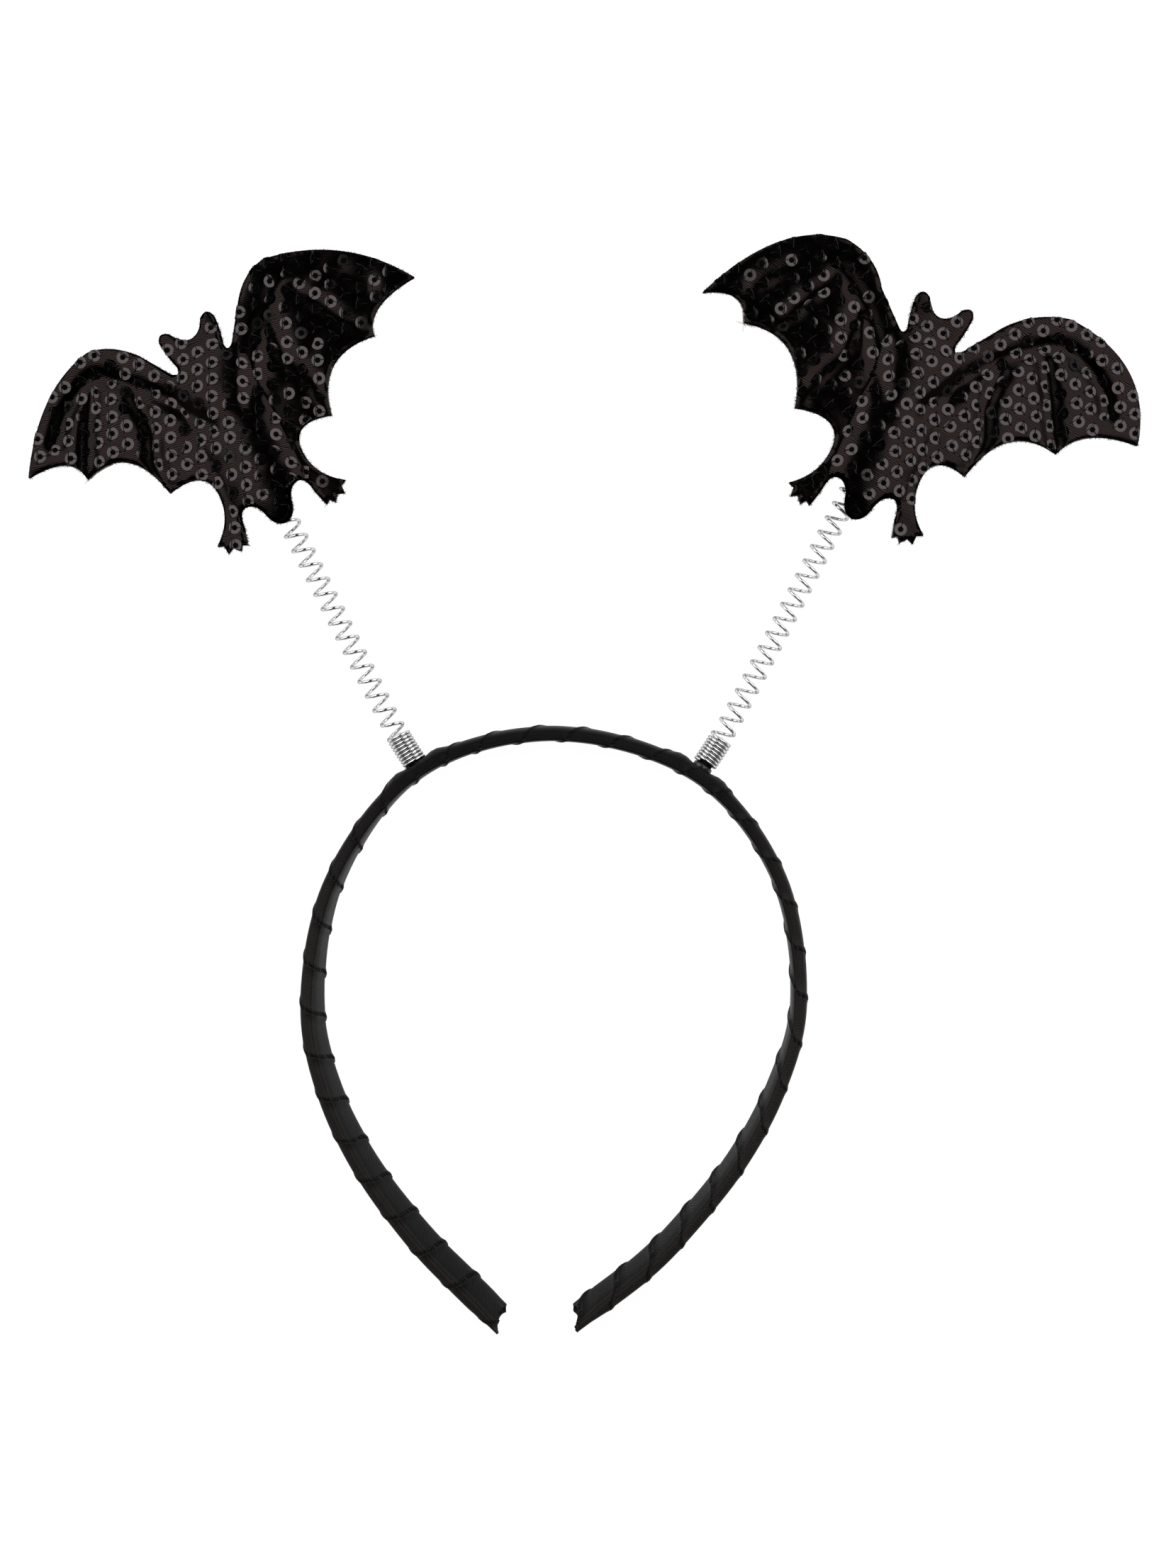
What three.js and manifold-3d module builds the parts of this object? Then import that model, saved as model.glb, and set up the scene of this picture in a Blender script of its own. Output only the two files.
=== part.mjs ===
// Bat headband: a ribbon-wound hoop with two padded sequin bats on wire springs, lying on its side.
// Millimetres. +Z is up from the surface it lies on, +Y runs from the hoop's open ends to its crown.

import * as THREE from 'three';
import { mergeVertices } from 'three/addons/utils/BufferGeometryUtils.js';
import Module from 'manifold-3d';

const wasm = await Module();
wasm.setup();

// Clearance between neighbouring pieces
const GAP = 0.3;
// Points closer than this are one point
const MERGE_WITHIN = 1e-4;

// Hoop centre line, round the middle of the head space: the angle runs clockwise from the crown,
// and the lean tips the strip's upper edge outwards. Angles are in degrees.
const HOOP_LINE = [
  { angle: -169.6, radius: 75.4, lean: 31 },
  { angle: -160, radius: 68.7, lean: 31 },
  { angle: -150, radius: 64.2, lean: 30 },
  { angle: -130, radius: 59.1, lean: 27 },
  { angle: -110, radius: 57.6, lean: 23 },
  { angle: -90, radius: 58.1, lean: 19 },
  { angle: -60, radius: 60.9, lean: 10 },
  { angle: -30, radius: 65.3, lean: 1 },
  { angle: 0, radius: 65.6, lean: -2 },
  { angle: 32, radius: 65.3, lean: 0 },
  { angle: 60, radius: 62.1, lean: 1 },
  { angle: 90, radius: 58.5, lean: 4 },
  { angle: 110, radius: 56.6, lean: 12 },
  { angle: 130, radius: 57.2, lean: 16 },
  { angle: 150, radius: 61.3, lean: 20 },
  { angle: 160, radius: 65.4, lean: 23 },
  { angle: 175.4, radius: 74.2, lean: 26 },
];
// Divisions used to measure distances along the hoop
const HOOP_DIVISIONS = 800;

// Wound ribbon
const WRAP_WIDTH = 10.2;
const WRAP_THICK = 3.6;
const WRAP_WALL = 0.85;
const WRAP_SIDES = 8;
const WRAP_SQUARENESS = 3.2;
// Share of the way round the section, from its outer face, at which its upper edge lies
const UPPER_EDGE = 0.25;
// Distances along the hoop at which a turn of the ribbon crosses its upper edge. The turns are laid
// evenly between these, and the first and the last are past the hoop's ends.
const WRAP_TURNS = [
  { turn: -2, distance: -12.5 },
  { turn: 0, distance: 12.4 },
  { turn: 13, distance: 152.0 },
  { turn: 15, distance: 168.8 },
  { turn: 19, distance: 211.9 },
  { turn: 22, distance: 238.7 },
  { turn: 36, distance: 394.1 },
];
// One turn of ribbon: how far along the turn, and how far the surface stands proud there
const WRAP_STEPS = [
  { along: 0, proud: 0.38 },
  { along: 0.16, proud: 0 },
];
// The ribbon runs on past the plastic and is pinched flat, with a hollow cut across its mouth
const MOUTH_LENGTH = 7;
const MOUTH_PINCH = 0.62;
const MOUTH_RADIUS = 9;
const MOUTH_BITE = 1.0;
const MOUTH_SIDES = 24;

// Plastic hoop inside the ribbon, and its two pegs
const CORE_SIDES = 6;
const CORE_STATION = 10.5;
const SHORTEST_STATION = 1;
const PEG_SIDES = 10;
const PEG_COLLAR_RADIUS = 2.45;
const PEG_POST_RADIUS = 1.85;
const PEG_POST_HEIGHT = 7.6;
const PEG_ROOT = 0.5;
const PEG_DOME_STEPS = 2;
// Step of the search for a peg's place along the hoop
const PEG_SEARCH_STEP = 0.05;

// Springs
const WIRE = 0.8;
const WIRE_SIDES = 5;
const STEPS_PER_TURN = 10;
const BASE_COIL = { turns: 6.2, pitch: 1.06, radius: 2.6 };
const OPEN_COIL = { pitch: 3.9, radius: 2.35 };

// Bats
const EDGE_THICK = 1.3;
const PUFF_THICK = 2.5;
const PUFF_REACH = 6;
const BODY_THICK = 2.4;
const BODY_HALF_WIDTH = 9.5;
const BODY_FOOT = -24;
const BODY_TOP = 24;
// The wings bend down from the body to their tips like a roof with a rounded ridge
const WING_DROOP = 4;
const WING_SPAN = 55;
const WING_RIDGE = 12;
const BACKING_THICK = 1.0;
const BACKING_INSET = 0.35;
const RELIEF_CELL = 7;
const DROOP_CELL = 14;
// Half sizes of the blocks that the layers are cut from
const REACH_X = 63;
const REACH_Y = 48;
const REACH_Z = 40;
const CURVE_STEP = 4.8;
const GROOVE_HALF_WIDTH = 1.7;
const GROOVE_HALF_DEPTH = 1.9;
const GROOVE_HEIGHT = 3.3;

// Half a bat's outline, from between the ears round the wing to the tail. Each row is the point that
// the outline reaches, with the control point of the curve to it where that stretch isn't straight.
// The rows of the wing are filled in for each one: its shoulder, the hump of its leading edge, its tip
// and the two points of its lower edge.
const OUTLINE = [
  { x: 0, y: 28.4 },
  { x: 4.1, y: 31.9, bendX: 2.6, bendY: 28.6 },
  { x: 7.4, y: 31.0, bendX: 6.6, bendY: 34.0 },
  { x: 6.2, y: 23.8, bendX: 7.2, bendY: 27.2 },
  { x: 8.2, y: 22.9, bendX: 6.3, bendY: 21.0 },
  { wing: 'shoulder' },
  { wing: 'hump' },
  { wing: 'tip' },
  { wing: 'firstPoint' },
  { wing: 'secondPoint' },
  { x: 11.3, y: -8.5, bendX: 11.9, bendY: -1.0 },
  { x: 17.2, y: -20.4, bendX: 11.0, bendY: -16.0 },
  { x: 15.8, y: -21.0 },
  { x: 15.7, y: -23.2 },
  { x: 14.1, y: -22.5 },
  { x: 12.7, y: -24.2 },
  { x: 11.7, y: -22.9 },
  { x: 10.5, y: -23.7 },
  { x: 9.4, y: -19.5 },
  { x: 7.0, y: -15.0, bendX: 9.0, bendY: -15.0 },
  { x: 3.7, y: -18.3, bendX: 4.8, bendY: -15.1 },
  { x: 0, y: -22.9, bendX: 2.9, bendY: -22.6 },
];

// Pressed grooves. The arm groove starts beside the body and then follows the leading edge, drawn in
// towards the palm. The finger grooves run down to the two points of the wing's lower edge.
const ARM_START = [
  { x: 5.5, y: 6.5 },
  { x: 12.0, y: 17.6 },
  { x: 18.2, y: 25.0 },
];
const PALM = { x: 26, y: 14 };
const ARM_DRAWN_IN = 0.27;
const ARM_STOPS = [0.05, 0.3, 0.55, 0.8];
const FINGERS = [
  [
    { x: 26.8, y: 28.5 },
    { x: 32.2, y: 19.5 },
    { x: 38.0, y: 11.0 },
  ],
  [
    { x: 18.2, y: 22.5 },
    { x: 18.4, y: 12.0 },
    { x: 21.4, y: -1.5 },
  ],
];

// The two bats, seen from above. Turn, pitch and roll are in degrees, stretch lengthens the bat from
// head to tail, skew shifts the head sideways against the feet, and each wing has its own rows of the
// outline. The spring runs under the bat from tailX at the tail to endX at its last turn.
const BATS = [
  {
    side: 'left',
    x: -74.2,
    y: 135.5,
    turn: 27.5,
    pitch: -5,
    roll: -0.6,
    stretch: 0.97,
    skew: 0,
    leftWing: {
      shoulder: { x: 13.0, y: 30.8 },
      hump: { x: 23.8, y: 37.7, bendX: 18.0, bendY: 37.0 },
      tip: { x: 50.2, y: 17.2, bendX: 38.6, bendY: 35.6 },
      firstPoint: { x: 37.7, y: 9.9, bendX: 38.5, bendY: 18.0 },
      secondPoint: { x: 21.6, y: -3.0, bendX: 25.0, bendY: 14.3 },
    },
    rightWing: {
      shoulder: { x: 14.0, y: 31.3 },
      hump: { x: 24.2, y: 38.1, bendX: 18.2, bendY: 37.4 },
      tip: { x: 54.2, y: 17.2, bendX: 43.8, bendY: 34.8 },
      firstPoint: { x: 39.3, y: 8.6, bendX: 40.3, bendY: 16.3 },
      secondPoint: { x: 21.5, y: -4.4, bendX: 24.4, bendY: 11.1 },
    },
    pegAngle: -29.5,
    pegTurn: -32,
    collar: 2.5,
    tailX: 0.4,
    endX: 0.4,
  },
  {
    side: 'right',
    x: 80.5,
    y: 138.2,
    turn: -21.5,
    pitch: -5,
    roll: 0.4,
    stretch: 1.03,
    skew: 0.04,
    leftWing: {
      shoulder: { x: 15.6, y: 29.9 },
      hump: { x: 28.0, y: 37.9, bendX: 19.6, bendY: 36.6 },
      tip: { x: 54.6, y: 14.3, bendX: 44.7, bendY: 36.9 },
      firstPoint: { x: 42.5, y: 11.1, bendX: 45.0, bendY: 19.3 },
      secondPoint: { x: 23.2, y: -3.5, bendX: 27.2, bendY: 13.8 },
    },
    rightWing: {
      shoulder: { x: 14.6, y: 31.6 },
      hump: { x: 29.0, y: 39.8, bendX: 20.2, bendY: 38.2 },
      tip: { x: 56.0, y: 18.4, bendX: 51.5, bendY: 38.1 },
      firstPoint: { x: 38.8, y: 9.2, bendX: 42.2, bendY: 18.0 },
      secondPoint: { x: 20.8, y: -3.9, bendX: 24.8, bendY: 12.6 },
    },
    pegAngle: 31.8,
    pegTurn: 33,
    collar: 2.9,
    tailX: -4.1,
    endX: -2.8,
  },
];

// Felt tab under each bat, round the spring's last turns
const TAB_THICK = 1.2;
const TAB_HALF_WIDTH = 7.2;
const TAB_LENGTH = 7;
const TAB_Y = -10.5;
const TAIL_Y = -22.5;
const TAB_LIFT = 0.5;
const TAB_CURVE_STEPS = 6;
// The flanges lie clear of the backing, which droops beside the body
const FLANGE_DEPTH = 0.6;

const COIL_OUTER = OPEN_COIL.radius + WIRE / 2;
const COIL_DEPTH = GAP + COIL_OUTER;
const TAB_DEPTH = COIL_DEPTH + COIL_OUTER + GAP + TAB_THICK;
const FRONT_BASE = BACKING_THICK + GAP;

const MATERIALS = {
  plastic: new THREE.MeshStandardMaterial({ color: 0x101012, roughness: 0.35, metalness: 0 }),
  ribbon: new THREE.MeshStandardMaterial({ color: 0x17171a, roughness: 0.55, metalness: 0 }),
  wire: new THREE.MeshStandardMaterial({ color: 0xd9d9dc, roughness: 0.15, metalness: 1 }),
  sequinCloth: new THREE.MeshStandardMaterial({ color: 0x1b1819, roughness: 0.6, metalness: 0 }),
  felt: new THREE.MeshStandardMaterial({ color: 0x242022, roughness: 0.95, metalness: 0 }),
};

const radians = THREE.MathUtils.degToRad;

// Boolean work on closed meshes

function toSolid(geometry) {
  const bare = geometry.clone();
  bare.deleteAttribute('normal');
  bare.deleteAttribute('uv');
  const merged = mergeVertices(bare, MERGE_WITHIN);
  const mesh = new wasm.Mesh({
    numProp: 3,
    vertProperties: new Float32Array(merged.attributes.position.array),
    triVerts: new Uint32Array(merged.index.array),
  });
  mesh.merge();
  return new wasm.Manifold(mesh);
}

function toGeometry(solid) {
  const mesh = solid.getMesh();
  const geometry = new THREE.BufferGeometry();
  geometry.setAttribute('position', new THREE.BufferAttribute(new Float32Array(mesh.vertProperties), 3));
  geometry.setIndex(new THREE.BufferAttribute(new Uint32Array(mesh.triVerts), 1));
  geometry.computeVertexNormals();
  return geometry;
}

function indexedGeometry(points, faces) {
  const geometry = new THREE.BufferGeometry().setFromPoints(points);
  geometry.setIndex(faces);
  return geometry;
}

// Hoop: the curve's third coordinate carries the lean in radians

const hoopCurve = new THREE.CatmullRomCurve3(
  HOOP_LINE.map(({ angle, radius, lean }) => {
    const around = radians(angle);
    return new THREE.Vector3(radius * Math.sin(around), radius * Math.cos(around), radians(lean));
  }),
);
hoopCurve.arcLengthDivisions = HOOP_DIVISIONS;
const HOOP_LENGTH = hoopCurve.getLength();

// How far the strip's rounded section reaches below its middle when it leans
function sectionReach(lean) {
  const power = WRAP_SQUARENESS / (WRAP_SQUARENESS - 1);
  const across = Math.abs((WRAP_WIDTH / 2) * Math.cos(lean)) ** power;
  const through = Math.abs((WRAP_THICK / 2) * Math.sin(lean)) ** power;
  return (across + through) ** (1 / power) + WRAP_STEPS[0].proud;
}

// Middle and directions of the strip at a distance along the hoop, carried straight on past its ends
function hoopFrame(distance) {
  const inside = THREE.MathUtils.clamp(distance, 0, HOOP_LENGTH);
  const point = hoopCurve.getPointAt(inside / HOOP_LENGTH);
  const along = hoopCurve.getTangentAt(inside / HOOP_LENGTH).setZ(0).normalize();
  const lean = point.z;
  const outward = new THREE.Vector3(-along.y, along.x, 0);
  const up = new THREE.Vector3(0, 0, 1);
  return {
    middle: point.setZ(sectionReach(lean)).addScaledVector(along, distance - inside),
    along,
    through: outward.clone().multiplyScalar(Math.cos(lean)).addScaledVector(up, -Math.sin(lean)),
    across: up.clone().multiplyScalar(Math.cos(lean)).addScaledVector(outward, Math.sin(lean)),
  };
}

// Share of the full thickness that is left where the ribbon's mouth is pinched
function pinch(distance) {
  const fromEnd = Math.min(distance, HOOP_LENGTH - distance);
  return THREE.MathUtils.lerp(MOUTH_PINCH, 1, THREE.MathUtils.smoothstep(fromEnd, 0, MOUTH_LENGTH));
}

function roundedPower(value) {
  return Math.sign(value) * Math.abs(value) ** (2 / WRAP_SQUARENESS);
}

// A point of the strip's rounded section, at a share of the way round it
function sectionPoint(distance, share, halfThick, halfWidth) {
  const frame = hoopFrame(distance);
  const around = share * 2 * Math.PI;
  return frame.middle
    .clone()
    .addScaledVector(frame.through, halfThick * roundedPower(Math.cos(around)))
    .addScaledVector(frame.across, halfWidth * roundedPower(Math.sin(around)));
}

// Closed strip of rings, each a list of points, with a fan of triangles on both ends
function ringStrip(rings) {
  const sides = rings[0].length;
  const points = rings.flat();
  const faces = [];
  for (let ring = 0; ring + 1 < rings.length; ring += 1) {
    for (let side = 0; side < sides; side += 1) {
      const here = ring * sides + side;
      const next = ring * sides + ((side + 1) % sides);
      faces.push(here, next, here + sides, next, next + sides, here + sides);
    }
  }
  const last = (rings.length - 1) * sides;
  for (let side = 1; side + 1 < sides; side += 1) {
    faces.push(0, side + 1, side, last, last + side, last + side + 1);
  }
  return indexedGeometry(points, faces);
}

// Stations along the hoop, the same for the plastic and for the hollow round it
function stations(from, to) {
  const count = Math.round(HOOP_LENGTH / CORE_STATION);
  const even = Array.from({ length: count + 1 }, (_, i) => (HOOP_LENGTH * i) / count);
  const between = even.filter((distance) => (
    distance > from + SHORTEST_STATION && distance < to - SHORTEST_STATION
  ));
  return [from, ...between, to];
}

function innerStrip(from, to, clearance) {
  const halfThick = WRAP_THICK / 2 - WRAP_WALL - clearance;
  const halfWidth = WRAP_WIDTH / 2 - WRAP_WALL - clearance;
  const rings = stations(from, to).map((distance) => {
    const thick = halfThick * pinch(THREE.MathUtils.clamp(distance, 0, HOOP_LENGTH));
    return Array.from({ length: CORE_SIDES }, (_, side) => (
      sectionPoint(distance, (side + 0.5) / CORE_SIDES, thick, halfWidth)
    ));
  });
  return ringStrip(rings);
}

// Distance along the hoop after a number of turns of the ribbon
function wound(turn) {
  const inner = WRAP_TURNS.slice(1, -1).findIndex((knot) => turn <= knot.turn);
  const after = inner < 0 ? WRAP_TURNS.length - 1 : inner + 1;
  const from = WRAP_TURNS[after - 1];
  const to = WRAP_TURNS[after];
  return THREE.MathUtils.mapLinear(turn, from.turn, to.turn, from.distance, to.distance);
}

// Ribbon wound in a true helix: one row of the grid follows the ribbon's edge round the hoop, from its
// upper edge over the outer face
function woundRibbon() {
  const perTurn = WRAP_STEPS.length;
  const first = WRAP_TURNS[0].turn;
  const last = WRAP_TURNS[WRAP_TURNS.length - 1].turn;
  const rows = (last - first - 1) * perTurn;
  const points = [];
  for (let row = 0; row <= rows + perTurn; row += 1) {
    const step = WRAP_STEPS[row % perTurn];
    const start = first + Math.floor(row / perTurn) + step.along;
    for (let side = 0; side < WRAP_SIDES; side += 1) {
      const share = (side + 0.5) / WRAP_SIDES;
      const distance = wound(start + share);
      const flat = pinch(THREE.MathUtils.clamp(distance, 0, HOOP_LENGTH));
      const thick = (WRAP_THICK / 2) * flat + step.proud;
      points.push(sectionPoint(distance, UPPER_EDGE - share, thick, WRAP_WIDTH / 2 + step.proud));
    }
  }
  const corner = (row, side) => (
    side < WRAP_SIDES ? row * WRAP_SIDES + side : (row + perTurn) * WRAP_SIDES
  );
  const faces = [];
  for (let row = 0; row < rows; row += 1) {
    for (let side = 0; side < WRAP_SIDES; side += 1) {
      const here = corner(row, side);
      const next = corner(row, side + 1);
      const ahead = corner(row + 1, side);
      faces.push(here, ahead, next, next, ahead, corner(row + 1, side + 1));
    }
  }
  const rim = (row) => [
    ...Array.from({ length: WRAP_SIDES }, (_, side) => corner(row, side)),
    ...Array.from({ length: perTurn }, (_, back) => corner(row + perTurn - back, 0)),
  ];
  const capEnd = (row, turned) => {
    const loop = rim(row);
    const hub = points.length;
    points.push(hoopFrame(wound(first + row / perTurn + 0.5)).middle);
    loop.forEach((from, i) => {
      const to = loop[(i + 1) % loop.length];
      faces.push(hub, turned ? to : from, turned ? from : to);
    });
  };
  capEnd(0, false);
  capEnd(rows, true);
  return indexedGeometry(points, faces);
}

// A solid made along +Y, set with that axis on a direction
function setOn(geometry, origin, direction) {
  const turn = new THREE.Quaternion().setFromUnitVectors(new THREE.Vector3(0, 1, 0), direction);
  return geometry.clone().applyQuaternion(turn).translate(origin.x, origin.y, origin.z);
}

function mouthCutter(distance, sign) {
  const frame = hoopFrame(distance);
  const centre = frame.middle.clone().addScaledVector(frame.along, sign * (MOUTH_RADIUS - MOUTH_BITE));
  const drum = new THREE.CylinderGeometry(MOUTH_RADIUS, MOUTH_RADIUS, 4 * WRAP_THICK, MOUTH_SIDES);
  return setOn(drum, centre, frame.through);
}

// Pegs: where the axis leaves the strip's middle, and which way it points

function pegAxis(bat) {
  let distance = 0;
  const target = radians(bat.pegAngle);
  const angleAt = (d) => {
    const point = hoopCurve.getPointAt(d / HOOP_LENGTH);
    return Math.atan2(point.x, point.y);
  };
  while (angleAt(distance) < target) {
    distance += PEG_SEARCH_STEP;
  }
  const around = radians(bat.pegTurn);
  return {
    foot: hoopFrame(distance).middle,
    direction: new THREE.Vector3(Math.sin(around), Math.cos(around), 0),
  };
}

function pegSolid(bat) {
  const post = PEG_POST_RADIUS;
  const shoulder = bat.collar + PEG_POST_HEIGHT - post;
  const profile = new THREE.Path()
    .moveTo(0, -PEG_ROOT)
    .lineTo(PEG_COLLAR_RADIUS, -PEG_ROOT)
    .lineTo(PEG_COLLAR_RADIUS, bat.collar)
    .lineTo(post, bat.collar)
    .lineTo(post, shoulder)
    .absarc(0, shoulder, post, 0, Math.PI / 2, false);
  const outline = profile.getPoints(PEG_DOME_STEPS);
  outline[outline.length - 1].x = 0;
  const { foot, direction } = pegAxis(bat);
  return setOn(new THREE.LatheGeometry(outline, PEG_SIDES), foot, direction);
}

function pegHole(bat) {
  const radius = PEG_COLLAR_RADIUS + GAP;
  const depth = 3 * WRAP_THICK;
  const { foot, direction } = pegAxis(bat);
  const hole = new THREE.CylinderGeometry(radius, radius, depth, PEG_SIDES).translate(0, depth / 2, 0);
  return setOn(hole, foot, direction);
}

function makeCore() {
  let core = toSolid(innerStrip(MOUTH_LENGTH, HOOP_LENGTH - MOUTH_LENGTH, GAP));
  for (const bat of BATS) {
    core = core.add(toSolid(pegSolid(bat)));
  }
  return toGeometry(core);
}

function makeWrap() {
  const past = 2 * MOUTH_RADIUS;
  let wrap = toSolid(woundRibbon()).subtract(toSolid(innerStrip(-past, HOOP_LENGTH + past, 0)));
  wrap = wrap.subtract(toSolid(mouthCutter(0, -1)));
  wrap = wrap.subtract(toSolid(mouthCutter(HOOP_LENGTH, 1)));
  for (const bat of BATS) {
    wrap = wrap.subtract(toSolid(pegHole(bat)));
  }
  return toGeometry(wrap);
}

// Bats: each is made flat in its own frame, with the backing's underside at z = 0

function wingHalf(bat, wing) {
  const rows = OUTLINE.map((row) => (row.wing ? wing[row.wing] : row));
  const points = [new THREE.Vector2(rows[0].x, rows[0].y)];
  for (const row of rows.slice(1)) {
    const from = points[points.length - 1];
    const to = new THREE.Vector2(row.x, row.y);
    if (row.bendX === undefined) {
      points.push(to);
    } else {
      const curve = new THREE.QuadraticBezierCurve(from, new THREE.Vector2(row.bendX, row.bendY), to);
      const steps = Math.max(2, Math.round(curve.getLength() / CURVE_STEP));
      points.push(...curve.getPoints(steps).slice(1));
    }
  }
  return points.map(({ x, y }) => new THREE.Vector2(x, y * bat.stretch));
}

function batOutline(bat) {
  const right = wingHalf(bat, bat.rightWing);
  const left = wingHalf(bat, bat.leftWing).map(({ x, y }) => new THREE.Vector2(-x, y));
  const loop = [...left.slice(0, -1), ...right.slice(1).reverse()];
  return loop.map(({ x, y }) => new THREE.Vector2(x + bat.skew * y, y));
}

function distanceToOutline(outline, x, y) {
  const point = new THREE.Vector3(x, y, 0);
  const nearest = new THREE.Vector3();
  const edge = new THREE.Line3();
  const lengths = outline.map((from, i) => {
    const to = outline[(i + 1) % outline.length];
    edge.start.set(from.x, from.y, 0);
    edge.end.set(to.x, to.y, 0);
    return edge.closestPointToPoint(point, true, nearest).distanceTo(point);
  });
  return Math.min(...lengths);
}

function isInside(outline, x, y) {
  let inside = false;
  outline.forEach((from, i) => {
    const to = outline[(i + 1) % outline.length];
    const crosses = from.y > y !== to.y > y;
    if (crosses && x < from.x + ((to.x - from.x) * (y - from.y)) / (to.y - from.y)) {
      inside = !inside;
    }
  });
  return inside;
}

function droop(x) {
  const fall = Math.hypot(x, WING_RIDGE) - WING_RIDGE;
  return (-WING_DROOP * fall) / (Math.hypot(WING_SPAN, WING_RIDGE) - WING_RIDGE);
}

// Thickness of the padding: a rounded rim, with the body as a ridge from head to tail
function padding(bat, outline, x, y) {
  const rim = isInside(outline, x, y) ? Math.min(1, distanceToOutline(outline, x, y) / PUFF_REACH) : 0;
  const across = Math.max(0, 1 - (x / BODY_HALF_WIDTH) ** 2);
  const length = y / bat.stretch;
  const ends = Math.max(0, 1 - ((2 * length - BODY_TOP - BODY_FOOT) / (BODY_TOP - BODY_FOOT)) ** 4);
  const round = Math.sqrt(rim * (2 - rim));
  return EDGE_THICK + round * (PUFF_THICK + BODY_THICK * Math.sqrt(across) * ends);
}

// Block whose top follows a height and whose floor is far below
function heightBlock(cellX, cellY, height) {
  const columns = Math.round((2 * REACH_X) / cellX);
  const rows = Math.round((2 * REACH_Y) / cellY);
  const sheet = new THREE.BoxGeometry(2 * REACH_X, 2 * REACH_Y, 1, columns, rows, 1);
  const position = sheet.attributes.position;
  for (let i = 0; i < position.count; i += 1) {
    const top = position.getZ(i) > 0;
    position.setZ(i, top ? height(position.getX(i), position.getY(i)) : -REACH_Z);
  }
  return toSolid(sheet);
}

function outlinePrism(outline) {
  const depth = 2 * REACH_Z - 1;
  const prism = new THREE.ExtrudeGeometry(new THREE.Shape(outline), { depth, bevelEnabled: false });
  return toSolid(prism.translate(0, 0, -depth / 2));
}

// Layer of the outline between a flat-woven underside and a top, both drooping with the wings
function outlineLayer(outline, bottom, cellX, cellY, top) {
  const over = heightBlock(cellX, cellY, (x, y) => top(x, y) + droop(x));
  const under = heightBlock(DROOP_CELL, 2 * REACH_Y, (x) => bottom + droop(x));
  return outlinePrism(outline).intersect(over).subtract(under);
}

// Groove cutter: a diamond section drawn along a line in the plane of the bat
function grooveCutter(line, bat, sign) {
  const path = new THREE.CatmullRomCurve3(line.map(({ x, y }) => {
    const along = y * bat.stretch;
    return new THREE.Vector3(sign * x + bat.skew * along, along, FRONT_BASE + GROOVE_HEIGHT + droop(x));
  }));
  const diamond = new THREE.Shape([
    new THREE.Vector2(GROOVE_HALF_DEPTH, 0),
    new THREE.Vector2(0, GROOVE_HALF_WIDTH),
    new THREE.Vector2(-GROOVE_HALF_DEPTH, 0),
    new THREE.Vector2(0, -GROOVE_HALF_WIDTH),
  ]);
  const steps = line.length;
  return toSolid(new THREE.ExtrudeGeometry(diamond, { steps, extrudePath: path, bevelEnabled: false }));
}

function wingGrooves(wing) {
  const lead = new THREE.QuadraticBezierCurve(
    new THREE.Vector2(wing.hump.x, wing.hump.y),
    new THREE.Vector2(wing.tip.bendX, wing.tip.bendY),
    new THREE.Vector2(wing.tip.x, wing.tip.y),
  );
  const palm = new THREE.Vector2(PALM.x, PALM.y);
  const arm = ARM_STOPS.map((stop) => lead.getPoint(stop).lerp(palm, ARM_DRAWN_IN));
  return [[...ARM_START, ...arm], ...FINGERS];
}

function makeFront(bat) {
  const outline = batOutline(bat);
  const top = (x, y) => FRONT_BASE + padding(bat, outline, x, y);
  let front = outlineLayer(outline, FRONT_BASE, RELIEF_CELL, RELIEF_CELL, top);
  for (const line of wingGrooves(bat.leftWing)) {
    front = front.subtract(grooveCutter(line, bat, -1));
  }
  for (const line of wingGrooves(bat.rightWing)) {
    front = front.subtract(grooveCutter(line, bat, 1));
  }
  return toGeometry(front);
}

function makeBacking(bat) {
  const outline = batOutline(bat);
  const count = outline.length;
  const inset = outline.map((point, i) => {
    const edge = outline[(i + 1) % count].clone().sub(outline[(i + count - 1) % count]).normalize();
    return new THREE.Vector2(point.x - edge.y * BACKING_INSET, point.y + edge.x * BACKING_INSET);
  });
  const layer = outlineLayer(inset, 0, DROOP_CELL, 2 * REACH_Y, () => BACKING_THICK);
  return toGeometry(layer);
}

// Tab: a saddle under the spring's last turns, with two flanges against the backing
function makeTab() {
  const inner = COIL_OUTER + GAP;
  const outer = inner + TAB_THICK;
  const profile = new THREE.Shape()
    .moveTo(-TAB_HALF_WIDTH, -FLANGE_DEPTH)
    .lineTo(-TAB_HALF_WIDTH, -FLANGE_DEPTH - TAB_THICK)
    .lineTo(-outer, -FLANGE_DEPTH - TAB_THICK)
    .absarc(0, -COIL_DEPTH, outer, Math.PI, 2 * Math.PI, false)
    .lineTo(outer, -FLANGE_DEPTH - TAB_THICK)
    .lineTo(TAB_HALF_WIDTH, -FLANGE_DEPTH - TAB_THICK)
    .lineTo(TAB_HALF_WIDTH, -FLANGE_DEPTH)
    .lineTo(inner, -FLANGE_DEPTH)
    .absarc(0, -COIL_DEPTH, inner, 2 * Math.PI, Math.PI, true)
    .lineTo(-inner, -FLANGE_DEPTH);
  const saddle = new THREE.ExtrudeGeometry(profile, {
    depth: TAB_LENGTH,
    bevelEnabled: false,
    curveSegments: TAB_CURVE_STEPS,
  });
  return saddle.rotateX(Math.PI / 2).translate(0, TAB_LENGTH / 2, 0);
}

// Spring: a wire wound round an axis that leaves the peg and ends under the bat

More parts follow.
